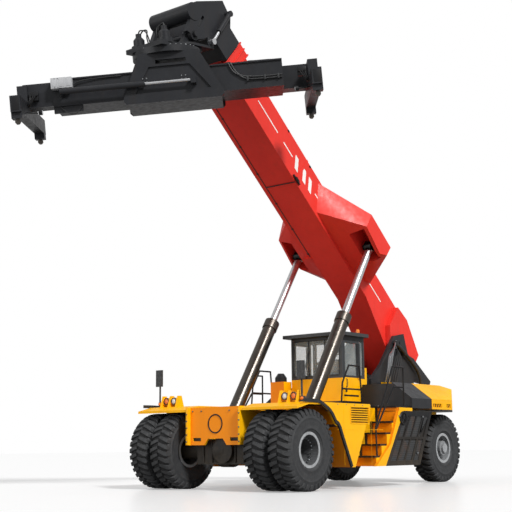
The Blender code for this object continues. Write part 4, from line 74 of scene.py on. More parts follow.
# Wheels and tyres; a tyre is given by its CAD node, centre x, axle y and body
WHEEL_RADIUS = 0.80
REAR_AXLE_Y = 6.05
OUTER_X, INNER_X, REAR_X = 1.875, 1.265, 1.41
LUGS_ROUND = 34
TYRES = [(f"tyre_front_{label}_{row}", side * x, 0, "front_wheel_" + label)
         for label, side in SIDES for row, x in (("outer", OUTER_X), ("inner", INNER_X))]
TYRES += [("tyre_rear_" + label, side * REAR_X, REAR_AXLE_Y, "rear_wheel_" + label) for label, side in SIDES]


# ------------------------ nodes and colours
def linear(code):
    """An sRGB hex colour as linear RGBA."""
    parts = [int(code[i:i + 2], 16) / 255 for i in (1, 3, 5)]
    return tuple(p / 12.92 if p <= 0.04045 else ((p + 0.055) / 1.055) ** 2.4 for p in parts) + (1,)


def feed(tree, node, inputs):
    """Gives a node's sockets a value or another node's output each."""
    for socket, value in inputs.items():
        if isinstance(value, bpy.types.NodeSocket):
            tree.links.new(value, node.inputs[socket])
        else:
            node.inputs[socket].default_value = value


def add(tree, kind, inputs=None, **settings):
    """Adds a node with its settings and what feeds it."""
    made = tree.nodes.new(kind)
    for name, value in settings.items():
        setattr(made, name, value)
    feed(tree, made, inputs or {})
    return made


def blank(name):
    """A new material with its Principled shader and the Object coordinates."""
    material = bpy.data.materials.new(name)
    material.use_nodes = True
    tree = material.node_tree
    return material, tree, tree.nodes["Principled BSDF"], add(tree, "ShaderNodeTexCoord").outputs["Object"]


def calculated(tree, operation, *values):
    """One sum on one or two values."""
    return add(tree, "ShaderNodeMath", dict(enumerate(values)), operation=operation).outputs[0]


def apart(tree, vector):
    """The three coordinates of a vector, by X, Y and Z."""
    return add(tree, "ShaderNodeSeparateXYZ", {"Vector": vector}).outputs


def noise(tree, where, size, detail):
    """Soft noise whose blotches measure about size metres."""
    made = add(tree, "ShaderNodeTexNoise", {"Vector": where, "Scale": 1 / size, "Detail": detail})
    return made.outputs["Fac"]


def spread(tree, value, low, high, out_low=0, out_high=1):
    """Maps a value from one range to another, clamped."""
    return add(tree, "ShaderNodeMapRange", {"Value": value, "From Min": low, "From Max": high,
                                            "To Min": out_low, "To Max": out_high}).outputs["Result"]


def blotches(tree, where, size, detail, low, high, out_low, out_high):
    """Noise about size metres wide, mapped from one range to another."""
    return spread(tree, noise(tree, where, size, detail), low, high, out_low, out_high)


def colour_mix(tree, share, first, second):
    """Two colours, hex codes or node outputs, mixed by a share from 0 to 1."""
    first, second = (linear(each) if isinstance(each, str) else each for each in (first, second))
    return add(tree, "ShaderNodeMix", {0: share, 6: first, 7: second}, data_type="RGBA").outputs[2]


def bumped(tree, shader, height, strength, depth):
    """Raises the surface by a height pattern."""
    bump = add(tree, "ShaderNodeBump", {"Height": height, "Strength": strength, "Distance": depth})
    feed(tree, shader, {"Normal": bump.outputs["Normal"]})


def machine_paint(name, colour, faded, gloss, front=None, dust=0.0, upper=None, lower=None, painted_underside_shade=False):
    """Sprayed two-pack enamel on steel plate: even, glossy, with orange peel, fading and road dust; it can
    also paint shade on faces turned to the front and on faces looking down.
    """
    material, tree, shader, where = blank(name)
    tone = colour_mix(tree, blotches(tree, where, 0.55, 4, 0.35, 0.7, 0, 0.5), colour, faded)
    height = apart(tree, where)["Z"]
    facing = apart(tree, where.node.outputs["Normal"])
    blend = 0.002  # how sharp a masked paint line is
    if front:  # faces turned to the front are painted a deeper orange: painted shade for the weaker light from the front
        tone = colour_mix(tree, spread(tree, facing["Y"], -0.35, -0.75), tone, front)
    if painted_underside_shade:  # what looks down carries black underseal
        # faces looking down are painted near black: painted shade under things
        tone = colour_mix(tree, spread(tree, facing["Z"], -0.7, -0.85), tone, "#2A2522")
    if upper:  # what stands above a line is sprayed another colour
        line, shade = upper
        tone = colour_mix(tree, spread(tree, height, line, line + blend), tone, shade)
    if lower:  # and what stands below a line another again
        line, shade = lower
        tone = colour_mix(tree, spread(tree, height, line + blend, line), tone, shade)
    streaks = add(tree, "ShaderNodeMapping", {"Vector": where, "Scale": (9, 9, 0.9)})
    runs = blotches(tree, streaks.outputs["Vector"], 1, 5, 0.5, 0.8, 0, 0.09)
    tone = colour_mix(tree, runs, tone, "#4A3A28")
    if dust:  # road dust thickens towards the ground
        low = spread(tree, height, 1.5, 0.3, 0, dust)
        patchy = calculated(tree, "MULTIPLY", low, noise(tree, where, 0.12, 5))
        tone = colour_mix(tree, patchy, tone, "#8D7A5E")
    feed(tree, shader, {"Base Color": tone, "Specular IOR Level": 0.22, "Coat Weight": 0.04,
                        "Coat Roughness": 0.2,
                        "Roughness": blotches(tree, where, 0.09, 4, 0.3, 0.7, gloss - 0.05, gloss + 0.12)})
    # orange peel, drawn at 12 mm where the real one has 3 mm, so that it shows
    bumped(tree, shader, noise(tree, where, 0.012, 2), 0.05, 0.001)
    return material


def wheel_enamel():
    """Wheel enamel: pale grey on the rim's lip and hub, the dish between them darker."""
    material, tree, shader, where = blank("silver_grey_wheel_enamel_with_brake_dust")
    place = apart(tree, where)
    away = add(tree, "ShaderNodeCombineXYZ", {"Y": place["Y"], "Z": place["Z"]}).outputs[0]
    reach = [add(tree, "ShaderNodeVectorMath", {0: away, 1: (0, axle_y - AXLE_TO_ORIGIN, WHEEL_RADIUS)},
                 operation="DISTANCE").outputs["Value"] for axle_y in (0, REAR_AXLE_Y)]
    radius = calculated(tree, "MINIMUM", *reach)
    dish = calculated(tree, "MULTIPLY", spread(tree, radius, 0.305, 0.285, 0, 0.92),
                      spread(tree, radius, 0.09, 0.13, 0.25, 1))
    # the rear wheels' dish is darkened less
    dish_darkening = calculated(tree, "MULTIPLY", dish, spread(tree, place["Y"], 2, 3, 1, 0.4))
    tone = colour_mix(tree, dish_darkening, "#A3A5A7", "#252527")
    tone = colour_mix(tree, blotches(tree, where, 0.06, 5, 0.45, 0.75, 0, 0.35), tone, "#4C4A47")
    feed(tree, shader, {"Base Color": tone, "Roughness": blotches(tree, where, 0.04, 3, 0.3, 0.7, 0.3, 0.5)})
    bumped(tree, shader, noise(tree, where, 0.01, 2), 0.15, 0.002)
    return material


def bare_metal(name, colour, rough, grain, tarnish="#5A554E", share=0.5, relief=0.08, upper=None):
    """Metal without paint: chromed, galvanised or as rolled, with fine lines or blotches of tarnish."""
    material, tree, shader, where = blank(name)
    tone = colour_mix(tree, blotches(tree, where, grain, 4, 0.45, 0.75, 0, share), colour, tarnish)
    if upper:  # what stands above a line is forged and dark
        tone = colour_mix(tree, spread(tree, apart(tree, where)["Z"], upper, upper + 0.01), tone, "#2B2A29")
    feed(tree, shader, {"Base Color": tone, "Metallic": 1,
                        "Roughness": blotches(tree, where, grain / 3, 3, 0.3, 0.7, rough, rough + 0.14)})
    if relief:
        bumped(tree, shader, noise(tree, where, grain / 8, 2), relief, 0.001)
    return material


def rubber(name, colour, dusty, grain, rough, share):
    """Vulcanised rubber: matt, near black, greyed by road dust, with a pebbled skin."""
    material, tree, shader, where = blank(name)
    tone = colour_mix(tree, blotches(tree, where, 0.08, 6, 0.4, 0.75, 0.1, share), colour, dusty)
    feed(tree, shader, {"Base Color": tone,
                        "Roughness": blotches(tree, where, 0.03, 3, 0.3, 0.7, rough - 0.08, rough + 0.08)})
    bumped(tree, shader, noise(tree, where, grain, 4), 0.35, 0.003)
    return material


def moulded(name, colour, rough):
    """Moulded ABS or nylon with a fine spark-eroded grain."""
    material, tree, shader, where = blank(name)
    tone = colour_mix(tree, blotches(tree, where, 0.05, 4, 0.35, 0.7, 0, 0.3), colour, "#6A6A6A")
    feed(tree, shader, {"Base Color": tone, "Roughness": rough})
    bumped(tree, shader, noise(tree, where, 0.004, 2), 0.15, 0.001)
    return material


# Shades of the two yellows: fresh, faded, gloss
FRAME_SHADES = ("#FFBC04", "#F5AA00", 0.4)
PANEL_SHADES = ("#FFBA02", "#F9AC00", 0.4)
# the deeper orange painted on faces turned to the front, as painted shade
FRONT_FACE_PAINTED_SHADE = "#FA9000"
# near black band painted along the foot of the cab base and of the door: painted shadow
PAINTED_SHADOW_BAND = "#242426"
SLATE = "#3B3D3F"
# the frame's, panels' and deck's faces looking down get painted shade
YELLOW = machine_paint("yellow_enamel_on_frame_plates", *FRAME_SHADES, front=FRONT_FACE_PAINTED_SHADE, dust=0.12,
                       painted_underside_shade=True)
PLAIN_YELLOW = machine_paint("yellow_enamel_on_panels", *PANEL_SHADES, dust=0.12, painted_underside_shade=True)
CAB_YELLOW = machine_paint("yellow_enamel_on_cab_base_with_painted_shadow_band", *PANEL_SHADES, lower=(1.875, PAINTED_SHADOW_BAND))
DOOR_PAINT = machine_paint("yellow_and_slate_enamel_on_cab_door", *PANEL_SHADES, upper=(2.412, SLATE),
                           lower=(2.02, PAINTED_SHADOW_BAND))
DECK_YELLOW = machine_paint("yellow_enamel_deck_with_black_air_filter", *FRAME_SHADES, front=FRONT_FACE_PAINTED_SHADE,
                            dust=0.12, upper=(2.3605, "#232427"), painted_underside_shade=True)
RED = machine_paint("signal_red_enamel_on_steel", "#E8392F", "#DB2F26", 0.42)
DARK = machine_paint("anthracite_enamel_on_steel", "#27282B", "#313235", 0.34)
CAB_GREY = machine_paint("slate_grey_enamel_on_steel", SLATE, "#45484A", 0.36)
BLACK = machine_paint("black_chassis_enamel", "#19191B", "#232425", 0.42, dust=0.25)
BARREL = bare_metal("oiled_nickel_plated_tube", "#66605A", 0.26, 0.3, tarnish="#45403B", share=0.4, relief=0)
WHEEL_GREY = wheel_enamel()
WHITE = machine_paint("white_marking_enamel", "#F4F2EE", "#E2DFDA", 0.35)
# the sheet behind the louvre and vents is painted dark brown: painted shade
SHADED = machine_paint("painted_shade_brown_behind_louvre", "#6B3E10", "#55300C", 0.6)
PALE = machine_paint("light_grey_cabinet_enamel", "#B9BABC", "#A6A7A9", 0.4)
IRON = machine_paint("grey_primed_cast_iron", "#5C5F62", "#4A4B4C", 0.6)
CHROME = bare_metal("hard_chromed_rod_steel", "#E6E7E9", 0.24, 0.05, share=0.06, relief=0)
STEEL = bare_metal("galvanised_steel_fastener", "#A9ACAF", 0.3, 0.02)
FORGED = bare_metal("forged_steel_as_rolled", "#6B6660", 0.42, 0.05)
TREAD = rubber("tread_rubber_with_road_dust", "#131315", "#2B2A29", 0.006, 0.78, 0.5)
SIDEWALL = rubber("sidewall_rubber_greyed", "#2C2D2F", "#424242", 0.004, 0.62, 0.6)
HOSE = rubber("hydraulic_hose_rubber", "#1B1C1E", "#3A3A3A", 0.003, 0.55, 0.4)
PLASTIC = moulded("black_moulded_plastic", "#242526", 0.5)
AMBER = moulded("amber_polycarbonate_lens", "#F07A10", 0.18)
LENS = moulded("clear_lamp_lens_over_reflector", "#D9DDE0", 0.12)
RED_LENS = moulded("red_polycarbonate_lens", "#B3140F", 0.2)


# ------------------------ shapes
def placed(axis, depth, pair):
    """A point at depth along an axis; the pair gives its two other coordinates in order."""
    place = list(pair)
    place.insert("XYZ".index(axis), depth)
    return Vector(place)


def skin(bm, rings):
    """Faces between rings of points that follow one another, the first and the last ring closed."""
    sides = len(rings[0])
    for first, second in zip(rings, rings[1:]):
        for k in range(sides):
            j = (k + 1) % sides
            bm.faces.new((first[k], first[j], second[j], second[k]))
    bm.faces.new(rings[0][::-1])
    bm.faces.new(rings[-1])


def block(bm, x0, x1, y0, y1, z0, z1, bevel=0.0):
    """A plate or bar between two corners, its edges rounded by bevel."""
    made = bmesh.ops.create_cube(bm, size=1)
    for vert in made["verts"]:
        vert.co = Vector(((x0 + x1) / 2 + vert.co.x * (x1 - x0), (y0 + y1) / 2 + vert.co.y * (y1 - y0),
                          (z0 + z1) / 2 + vert.co.z * (z1 - z0)))
    if bevel:
        edges = list({e for v in made["verts"] for e in v.link_edges})
        bmesh.ops.bevel(bm, geom=edges, offset=bevel, segments=2, profile=0.6, affect="EDGES")


def prism(bm, axis, outline, low, high):
    """An outline pushed along an axis; the outline gives the two other coordinates in order."""
    skin(bm, [[bm.verts.new(placed(axis, depth, pair)) for pair in outline] for depth in (low, high)])


def turned(bm, axis, profile, steps, centre=(0, 0, 0), closed=False):
    """A profile of (along, radius) turned round an axis through centre, as a solid or a closed ring."""
    rings = []
    for step in range(steps):
        angle = 2 * math.pi * step / steps
        rings.append([bm.verts.new(placed(axis, along, (radius * math.cos(angle), radius * math.sin(angle)))
                                   + Vector(centre)) for along, radius in profile])
    for step, ring in enumerate(rings):
        following = rings[(step + 1) % steps]
        for i in range(len(profile) if closed else len(profile) - 1):
            j = (i + 1) % len(profile)
            bm.faces.new((ring[i], ring[j], following[j], following[i]))
    if not closed:
        for end in (0, -1):
            bm.faces.new([ring[end] for ring in rings])


def through(points, between=6):
    """A smooth curve of points through the given ones."""
    given = [Vector(p) for p in points]
    full = [2 * given[0] - given[1]] + given + [2 * given[-1] - given[-2]]
    out = []
    for i in range(1, len(full) - 2):
        a, b, c, d = full[i - 1:i + 3]
        for step in range(between):
            t = step / between
            out.append(0.5 * (2 * b + (c - a) * t + (2 * a - 5 * b + 4 * c - d) * t * t
                              + (3 * b - a - 3 * c + d) * t ** 3))
    return out + [given[-1]]


def pipe(bm, points, radius, sides=8):
    """A round bar or hose along points, its ends closed."""
    points = [Vector(p) for p in points]
    rings, normal = [], None
    for i, point in enumerate(points):
        ahead = points[min(i + 1, len(points) - 1)] - points[max(i - 1, 0)]
        ahead.normalize()
        if normal is None:
            normal = ahead.orthogonal().normalized()
        normal = (normal - ahead * normal.dot(ahead)).normalized()
        across = ahead.cross(normal)
        rings.append([bm.verts.new(point + radius * (math.cos(2 * math.pi * k / sides) * normal
                                                     + math.sin(2 * math.pi * k / sides) * across))
                      for k in range(sides)])
    skin(bm, rings)


def hose(bm, points, radius, between=6, sides=8):
    """A bent hose through a few points."""
    pipe(bm, through(points, between), radius, sides)


def in_scene(name, data):
    """An object of these data, linked to the scene."""
    made = bpy.data.objects.new(name, data)
    bpy.context.scene.collection.objects.link(made)
    return made


def as_mesh(name, bm):
    """The shape as a mesh, the working copy freed."""
    mesh = bpy.data.meshes.new(name)
    bm.to_mesh(mesh)
    bm.free()
    return mesh


def piece(name, bm, finish, body="machine", home=VEHICLE, smooth=35):
    """Turns the shape into a piece of the object on its body, with its finish."""
    bm.transform(home)
    bmesh.ops.recalc_face_normals(bm, faces=bm.faces)
    for face in bm.faces:
        face.smooth = True
    for edge in bm.edges:
        if len(edge.link_faces) == 2:
            edge.smooth = edge.calc_face_angle(0) < math.radians(smooth)
    made = in_scene(name, as_mesh(name, bm))
    for each in finish if isinstance(finish, (list, tuple)) else [finish]:
        made.data.materials.append(each)
    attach(made, body)
    return made


def both(name, build, finish, body="machine", home=VEHICLE, smooth=35):
    """The same shape on the vehicle's left and, mirrored, on its right."""
    for label, side in SIDES:
        bm = bmesh.new()
        build(bm)
        bm.transform(Matrix.Scale(side, 4, (1, 0, 0)))
        piece(f"{name}_{label}", bm, finish, body.format(label), home, smooth)


# ------------------------ repeats by Geometry Nodes
def node_group(name, inputs):
    """A Geometry Nodes group with these inputs, what it is given and where its result goes."""
    tree = bpy.data.node_groups.new(name, "GeometryNodeTree")
    for label, kind in (("Geometry", "Geometry"), *inputs):
        tree.interface.new_socket(label, in_out="INPUT", socket_type="NodeSocket" + kind)
    tree.interface.new_socket("Geometry", in_out="OUTPUT", socket_type="NodeSocketGeometry")
    return tree, add(tree, "NodeGroupInput").outputs, add(tree, "NodeGroupOutput")


def with_nodes(thing, label, tree, values):
    """Puts a node group on an object and sets its inputs."""
    modifier = thing.modifiers.new(label, "NODES")
    modifier.node_group = tree
    for socket in tree.interface.items_tree:
        if socket.item_type == "SOCKET" and socket.in_out == "INPUT" and socket.name in values:
            modifier[socket.identifier] = values[socket.name]


def repeat_tree():
    """Copies a shape round the X axis, Count times and each Turn further."""
    tree, given, out = node_group("copies_round_an_axis", (("Count", "Int"), ("Turn", "Float"),
                                                           ("Finish", "Material")))
    line = add(tree, "GeometryNodeMeshLine", {"Count": given["Count"], "Offset": (0, 0, 0)})
    index = add(tree, "GeometryNodeInputIndex").outputs[0]
    turn = add(tree, "ShaderNodeCombineXYZ", {"X": calculated(tree, "MULTIPLY", index, given["Turn"])})
    copies = add(tree, "GeometryNodeInstanceOnPoints", {
        "Points": line.outputs["Mesh"], "Instance": given["Geometry"], "Rotation": turn.outputs[0]})
    real = add(tree, "GeometryNodeRealizeInstances", {"Geometry": copies.outputs["Instances"]})
    dressed = add(tree, "GeometryNodeSetMaterial", {"Geometry": real.outputs[0], "Material": given["Finish"]})
    feed(tree, out, {"Geometry": dressed.outputs[0]})
    return tree


def rounding_tree():
    """Joins a CAD node's loose triangles for shading, and keeps the edges above Angle sharp."""
    tree, given, out = node_group("round_faces_shaded_smooth", (("Angle", "Float"),))
    bare = add(tree, "GeometryNodeRemoveAttribute", {"Geometry": given["Geometry"], "Name": "custom_normal"})
    joined = add(tree, "GeometryNodeMergeByDistance", {"Geometry": bare.outputs[0], "Distance": 0.00002})
    soft = add(tree, "GeometryNodeSetShadeSmooth", {"Geometry": joined.outputs[0], "Shade Smooth": True},
               domain="FACE")
    angle = add(tree, "GeometryNodeInputMeshEdgeAngle")
    gentle = add(tree, "FunctionNodeCompare", {"A": angle.outputs["Unsigned Angle"], "B": given["Angle"]},
                 operation="LESS_THAN")
    sharp = add(tree, "GeometryNodeSetShadeSmooth", {"Geometry": soft.outputs[0],
                                                     "Shade Smooth": gentle.outputs["Result"]}, domain="EDGE")
    feed(tree, out, {"Geometry": sharp.outputs[0]})
    return tree


REPEAT = repeat_tree()
ROUNDING = rounding_tree()


def repeated(bm, count, finish, place=(0, 0, 0), into=None):
    """Copies of a small shape in a full circle round the X axis, as a plain bmesh at place."""
    seed = in_scene("one_of_many", as_mesh("one_of_many", bm))
    with_nodes(seed, "copies", REPEAT, {"Count": count, "Turn": 2 * math.pi / count, "Finish": finish})
    ready = seed.evaluated_get(bpy.context.evaluated_depsgraph_get())
    plain = bpy.data.meshes.new_from_object(ready)
    out = into or bmesh.new()
    plain.transform(Matrix.Translation(place))
    out.from_mesh(plain)
    seed.modifiers.clear()
    bpy.data.objects.remove(seed)
    return out


def hexagon(bm, axis, across, length, start=0.0, centre=(0, 0)):
    """A bolt head or nut with a chamfered crown, centre gives its two other coordinates."""
    crown = across * 0.42
    rings = []
    for along, radius in ((start, across / 2), (start + length * 0.8, across / 2), (start + length, crown)):
        rings.append([bm.verts.new(placed(axis, along, (centre[0] + radius * math.cos(k * math.pi / 3),
                                                        centre[1] + radius * math.sin(k * math.pi / 3))))
                      for k in range(6)])
    skin(bm, rings)


# ------------------------ stage, lamps and camera
RIGHT = Vector((0.77702163, 0.62940953, -0.00900158))
UP = Vector((0.11667036, -0.1299506, 0.98463235))
AHEAD = Vector((-0.61856722, 0.76613086, 0.17440787))
SPOT = Vector((14.645, -17.1747 - AXLE_TO_ORIGIN, 0.8673))
camera = in_scene("camera", bpy.data.cameras.new("camera"))
camera.matrix_world = Matrix([(RIGHT[i], UP[i], -AHEAD[i], SPOT[i]) for i in range(3)] + [(0, 0, 0, 1)])
camera.data.sensor_width = 36
camera.data.lens = 75.742
camera.data.clip_end = 400
bpy.context.scene.camera = camera
bpy.context.scene.view_settings.view_transform = "Standard"

world = bpy.data.worlds.new("studio")
bpy.context.scene.world = world
world.use_nodes = True
sky = world.node_tree
sky.nodes.clear()
seen = add(sky, "ShaderNodeLightPath").outputs
bright = calculated(sky, "MAXIMUM", seen["Is Camera Ray"], seen["Is Transmission Ray"])
level = spread(sky, bright, 0, 1, 0.5, 1)
ambient = add(sky, "ShaderNodeBackground", {"Color": (1, 1, 1, 1), "Strength": level})
feed(sky, add(sky, "ShaderNodeOutputWorld"), {"Surface": ambient.outputs[0]})

for lamp_name, toward, power, soft in (("key", (0.95, -0.3, 0.8), 3.0, 10),
                                       ("front", (-0.35, -1, 0.3), 0.75, 40)):
    lamp = in_scene(lamp_name, bpy.data.lights.new(lamp_name, "SUN"))
    lamp.data.energy = power
    lamp.data.angle = math.radians(soft)
    lamp.rotation_euler = Vector(toward).to_track_quat("Z", "Y").to_euler()

floor_shape = bmesh.new()
bmesh.ops.create_grid(floor_shape, x_segments=8, y_segments=8, size=150)
floor = in_scene("floor", as_mesh("floor", floor_shape))
floor_finish, floor_tree, floor_shader = blank("pale_studio_floor_lacquered")[:3]
floor_seen = add(floor_tree, "ShaderNodeLightPath").outputs["Is Camera Ray"]
# the camera sees a white floor that keeps its shadows; what it throws back on the machine stays soft
feed(floor_tree, floor_shader, {"Roughness": 0.28, "Specular IOR Level": 0.35, "Emission Color": (1, 1, 1, 1),
                                "Emission Strength": spread(floor_tree, floor_seen, 0, 1, 0, 0.24),
                                "Base Color": colour_mix(floor_tree, floor_seen, "#8C8C8C", "#E4E4E4")})
floor.data.materials.append(floor_finish)

# ------------------------ finishes of the CAD nodes
# the forged eye is the topmost 26 cm of the lift rod
EYE_LOW = max(corner.co.z for corner in CAD["lift_rod_left"].data.vertices) - 0.26
ROD = bare_metal("hard_chromed_rod_with_forged_eye", "#E6E7E9", 0.24, 0.05, share=0.06, relief=0,
                 upper=EYE_LOW)
SLOT_FINISH = {"yellow": YELLOW, "red": RED, "black": BLACK, "grey": CAB_GREY, "rim": WHEEL_GREY,
               "rubber": TREAD, "chrome": CHROME, "iron": IRON}
# Nodes with a finish of their own, by how their names start; the last that fits counts
NODE_FINISH = (
    (ROD, ("lift_rod",)), (BARREL, ("lift_barrel",)), (IRON, ("engine",)), (CAB_YELLOW, ("cab_base",)),
    (PLAIN_YELLOW, ("fender", "counterweight")), (DOOR_PAINT, ("cab_door",)), (DECK_YELLOW, ("side_body",)),
    (PLASTIC, ("mirror", "steering_column")), (FORGED, ("twistlock",)),
    (BLACK, ("stair_treads", "side_panel", "front_axle", "rear_axle", "knuckle")),
    (DARK, ("boom_towers", "hood", "engine_door", "boom_head", "damper_barrel", "tilt_yoke",
            "slewing_carriage", "main_beam", "spreader_arm")),
)
for node_name, node_object in CAD.items():
    slot_name = node_object.data.materials[0].name.split(".")[0] if node_object.data.materials else "grey"
    finish = SLOT_FINISH.get(slot_name, CAB_GREY)
    for own_finish, starts in NODE_FINISH:
        if node_name.startswith(starts):
            finish = own_finish
    for material_slot in node_object.material_slots:
        material_slot.link = "OBJECT"
        material_slot.material = finish
    with_nodes(node_object, "rounding", ROUNDING, {"Angle": math.radians(32)})


# ------------------------ tyres and wheels
def lug(bm, way):
    """One tread lug of the drive pattern, from the crown over the shoulder, about the X axis."""
    taper = 0.82
    # x and radius on top, x and radius at the foot, sweep round the tyre, half the width
    rows = (
        (0.012, 0.797, 0.012, 0.762, 0.000, 0.034),
        (0.110, 0.800, 0.110, 0.762, 0.030, 0.042),
        (0.196, 0.796, 0.190, 0.752, 0.062, 0.048),
        (0.236, 0.768, 0.215, 0.735, 0.076, 0.050),
        (0.250, 0.715, 0.236, 0.705, 0.084, 0.048),
        (0.252, 0.672, 0.240, 0.668, 0.086, 0.030),
    )
    rings = []
    for top_x, top_r, low_x, low_r, sweep, half in rows:
        ring = []
        for x, radius, shift in ((top_x, top_r, -half * taper), (top_x, top_r, half * taper),
                                 (low_x, low_r, half), (low_x, low_r, -half)):
            angle = (sweep + shift) / WHEEL_RADIUS
            ring.append(bm.verts.new((way * x, radius * math.cos(angle), radius * math.sin(angle))))
        rings.append(ring)
    skin(bm, rings)


# Half of the carcass's section, as (x, radius) from the bead to the crown
CARCASS = ((0.158, 0.3225), (0.196, 0.345), (0.214, 0.372), (0.226, 0.40), (0.238, 0.405), (0.241, 0.43),
           (0.236, 0.438), (0.244, 0.50), (0.2485, 0.56), (0.246, 0.60), (0.2495, 0.606), (0.2495, 0.622),
           (0.245, 0.628), (0.238, 0.68), (0.222, 0.728), (0.190, 0.758), (0.10, 0.768))
SIDEWALL_REACH = 0.735  # radius at which the tread's rubber begins
CARCASS_STEPS = 68


def tyre(node, centre_x, axle_y, body):
    """A rock-service tyre: carcass with rim guard ribs, two rows of lugs meeting in a V."""
    centre = Vector((centre_x, axle_y, WHEEL_RADIUS))
    bm = bmesh.new()
    turned(bm, "X", list(CARCASS) + [(-x, r) for x, r in reversed(CARCASS)], CARCASS_STEPS, centre,
           closed=True)
    for face in bm.faces:
        middle = face.calc_center_median() - centre
        face.material_index = 1 if math.hypot(middle.y, middle.z) < SIDEWALL_REACH else 0
    for way in (1, -1):
        one = bmesh.new()
        lug(one, way)
        if way < 0:
            one.transform(Matrix.Rotation(math.pi / LUGS_ROUND, 4, "X"))
        bmesh.ops.recalc_face_normals(one, faces=one.faces)
        repeated(one, LUGS_ROUND, TREAD, centre, bm)
    made = piece(node + "_treaded", bm, [TREAD, SIDEWALL], body, smooth=40)
    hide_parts(node)


def wheel_nuts(end, label, side, axle_y, face_x, radius, count):
    """A ring of nuts on studs on the wheel's disc."""
    nut_across, nut_height, stud_length, stud_radius = 0.036, 0.022, 0.036, 0.006
    one = bmesh.new()
    hexagon(one, "X", nut_across, side * nut_height, side * face_x, (radius, 0))
    turned(one, "X", [(side * face_x, stud_radius), (side * (face_x + stud_length), stud_radius)], 8,
           (0, radius, 0))
    nuts = repeated(one, count, STEEL, (0, axle_y, WHEEL_RADIUS))
    piece(f"wheel_nuts_{end}_{label}", nuts, STEEL, f"{end}_wheel_{label}")


for tyre_row in TYRES:
    tyre(*tyre_row)
for label, side in SIDES:
    wheel_nuts("front", label, side, 0, 1.9355, 0.232, 20)
    wheel_nuts("rear", label, side, REAR_AXLE_Y, 1.4405, 0.198, 12)

# ------------------------ cab glass, wipers, seat
glass, glass_tree, glass_shader, glass_place = blank("tinted_laminated_glass")
# laminated cab glass: faint grey tint, sharp reflections, patches of dust
glass_dust = blotches(glass_tree, glass_place, 0.25, 4, 0.4, 0.7, 0, 1)
feed(glass_tree, glass_shader, {"Base Color": colour_mix(glass_tree, glass_dust, "#B4BEBE", "#DADFDC"),
                                "Roughness": 0.04, "Alpha": 0.2})
# The front window's half width, and the height of the windows' lower and upper edge
WINDOW_HALF = 0.64
SILL, LINTEL = 2.48, 3.28


def pane(name, x0, x1, y0, y1, z0=SILL, z1=LINTEL, body="machine"):
    """A sheet of cab glass, 8 mm thick."""
    bm = bmesh.new()
    block(bm, x0, x1, y0, y1, z0, z1, 0.001)
    piece(name, bm, glass, body)


pane("windscreen", -WINDOW_HALF, WINDOW_HALF, 3.168, 3.176)
pane("rear_window", -WINDOW_HALF, WINDOW_HALF, 4.044, 4.052)
for label, side in SIDES:
    low, high = sorted((side * 0.692, side * 0.700))
    pane("side_window_" + label, low, high, 3.88, 4.01)
    pane("door_glass_" + label, low, high, 3.276, 3.754, 2.46, 3.214, "cab_side_door_" + label)

cab_rubber = bmesh.new()
GASKET = 0.018
RIM = WINDOW_HALF + GASKET
for x0, x1, z0, z1 in ((-RIM, RIM, SILL - GASKET, SILL), (-RIM, RIM, LINTEL, LINTEL + GASKET),
                       (-RIM, -WINDOW_HALF, SILL, LINTEL), (WINDOW_HALF, RIM, SILL, LINTEL)):
    block(cab_rubber, x0, x1, 3.142, 3.1495, z0, z1, 0.003)
for x_post in (-0.22, 0.24):
    block(cab_rubber, x_post - 0.012, x_post + 0.012, 3.150, 3.166, SILL, LINTEL, 0.003)
piece("windscreen_gasket", cab_rubber, HOSE)
wipers = bmesh.new()
for x_post in (-0.30, 0.30):
    pipe(wipers, [(x_post, 3.128, 2.44), (x_post + 0.02, 3.128, 2.70), (x_post + 0.05, 3.132, 3.02)], 0.007)
    pipe(wipers, [(x_post - 0.02, 3.136, 2.66), (x_post + 0.11, 3.136, 3.10)], 0.008)
    turned(wipers, "Y", [(3.118, 0.026), (3.149, 0.026)], 12, (x_post, 0, 2.44))
piece("windscreen_wipers", wipers, PLASTIC)

cloth, cloth_tree, cloth_shader, cloth_place = blank("woven_seat_cloth")
# polyester seat cloth: dull charcoal with a fine 5 mm weave and a soft edge of light
cloth_weave = add(cloth_tree, "ShaderNodeTexWave", {"Vector": cloth_place, "Scale": 60,
                                                    "Distortion": 1.5}).outputs["Fac"]
feed(cloth_tree, cloth_shader, {"Base Color": colour_mix(cloth_tree, cloth_weave, "#2B2C2F", "#3D3F44"),
                                "Roughness": 0.9, "Sheen Weight": 0.3})
bumped(cloth_tree, cloth_shader, cloth_weave, 0.3, 0.002)


def cushion(bm, centre, size, crown):
    """A crowned pad: a rounded box whose faces swell towards their middles and whose sides draw in."""
    pad = bmesh.new()
    bmesh.ops.create_cube(pad, size=2)
    bmesh.ops.subdivide_edges(pad, edges=pad.edges, cuts=14, use_grid_fill=True)
    half = Vector(size) / 2
    thin = min(range(3), key=lambda i: size[i])
    corner = min(half) * 0.55
    seam_place, seam_width, seam_depth = 0.62, 0.05, crown * 0.35
    for vert in pad.verts:
        flat = vert.co.copy()
        others = [flat[i] for i in range(3) if i != thin]
        place = Vector([flat[i] * half[i] for i in range(3)])
        inner = Vector([max(-half[i] + corner, min(half[i] - corner, place[i])) for i in range(3)])
        away = place - inner
        if away.length > corner:
            away *= corner / away.length
        place = inner + away
        swell = crown * (1 - others[0] ** 2) * (1 - others[1] ** 2)
        place[thin] += math.copysign(swell, flat[thin]) if abs(flat[thin]) > 0.5 else 0
        seam = math.exp(-(((abs(others[0]) - seam_place) / seam_width) ** 2))
        place[thin] -= math.copysign(seam * seam_depth, flat[thin]) if abs(flat[thin]) > 0.9 else 0
        vert.co = place + Vector(centre)
    mesh = as_mesh("pad", pad)
    bm.from_mesh(mesh)
    bpy.data.meshes.remove(mesh)


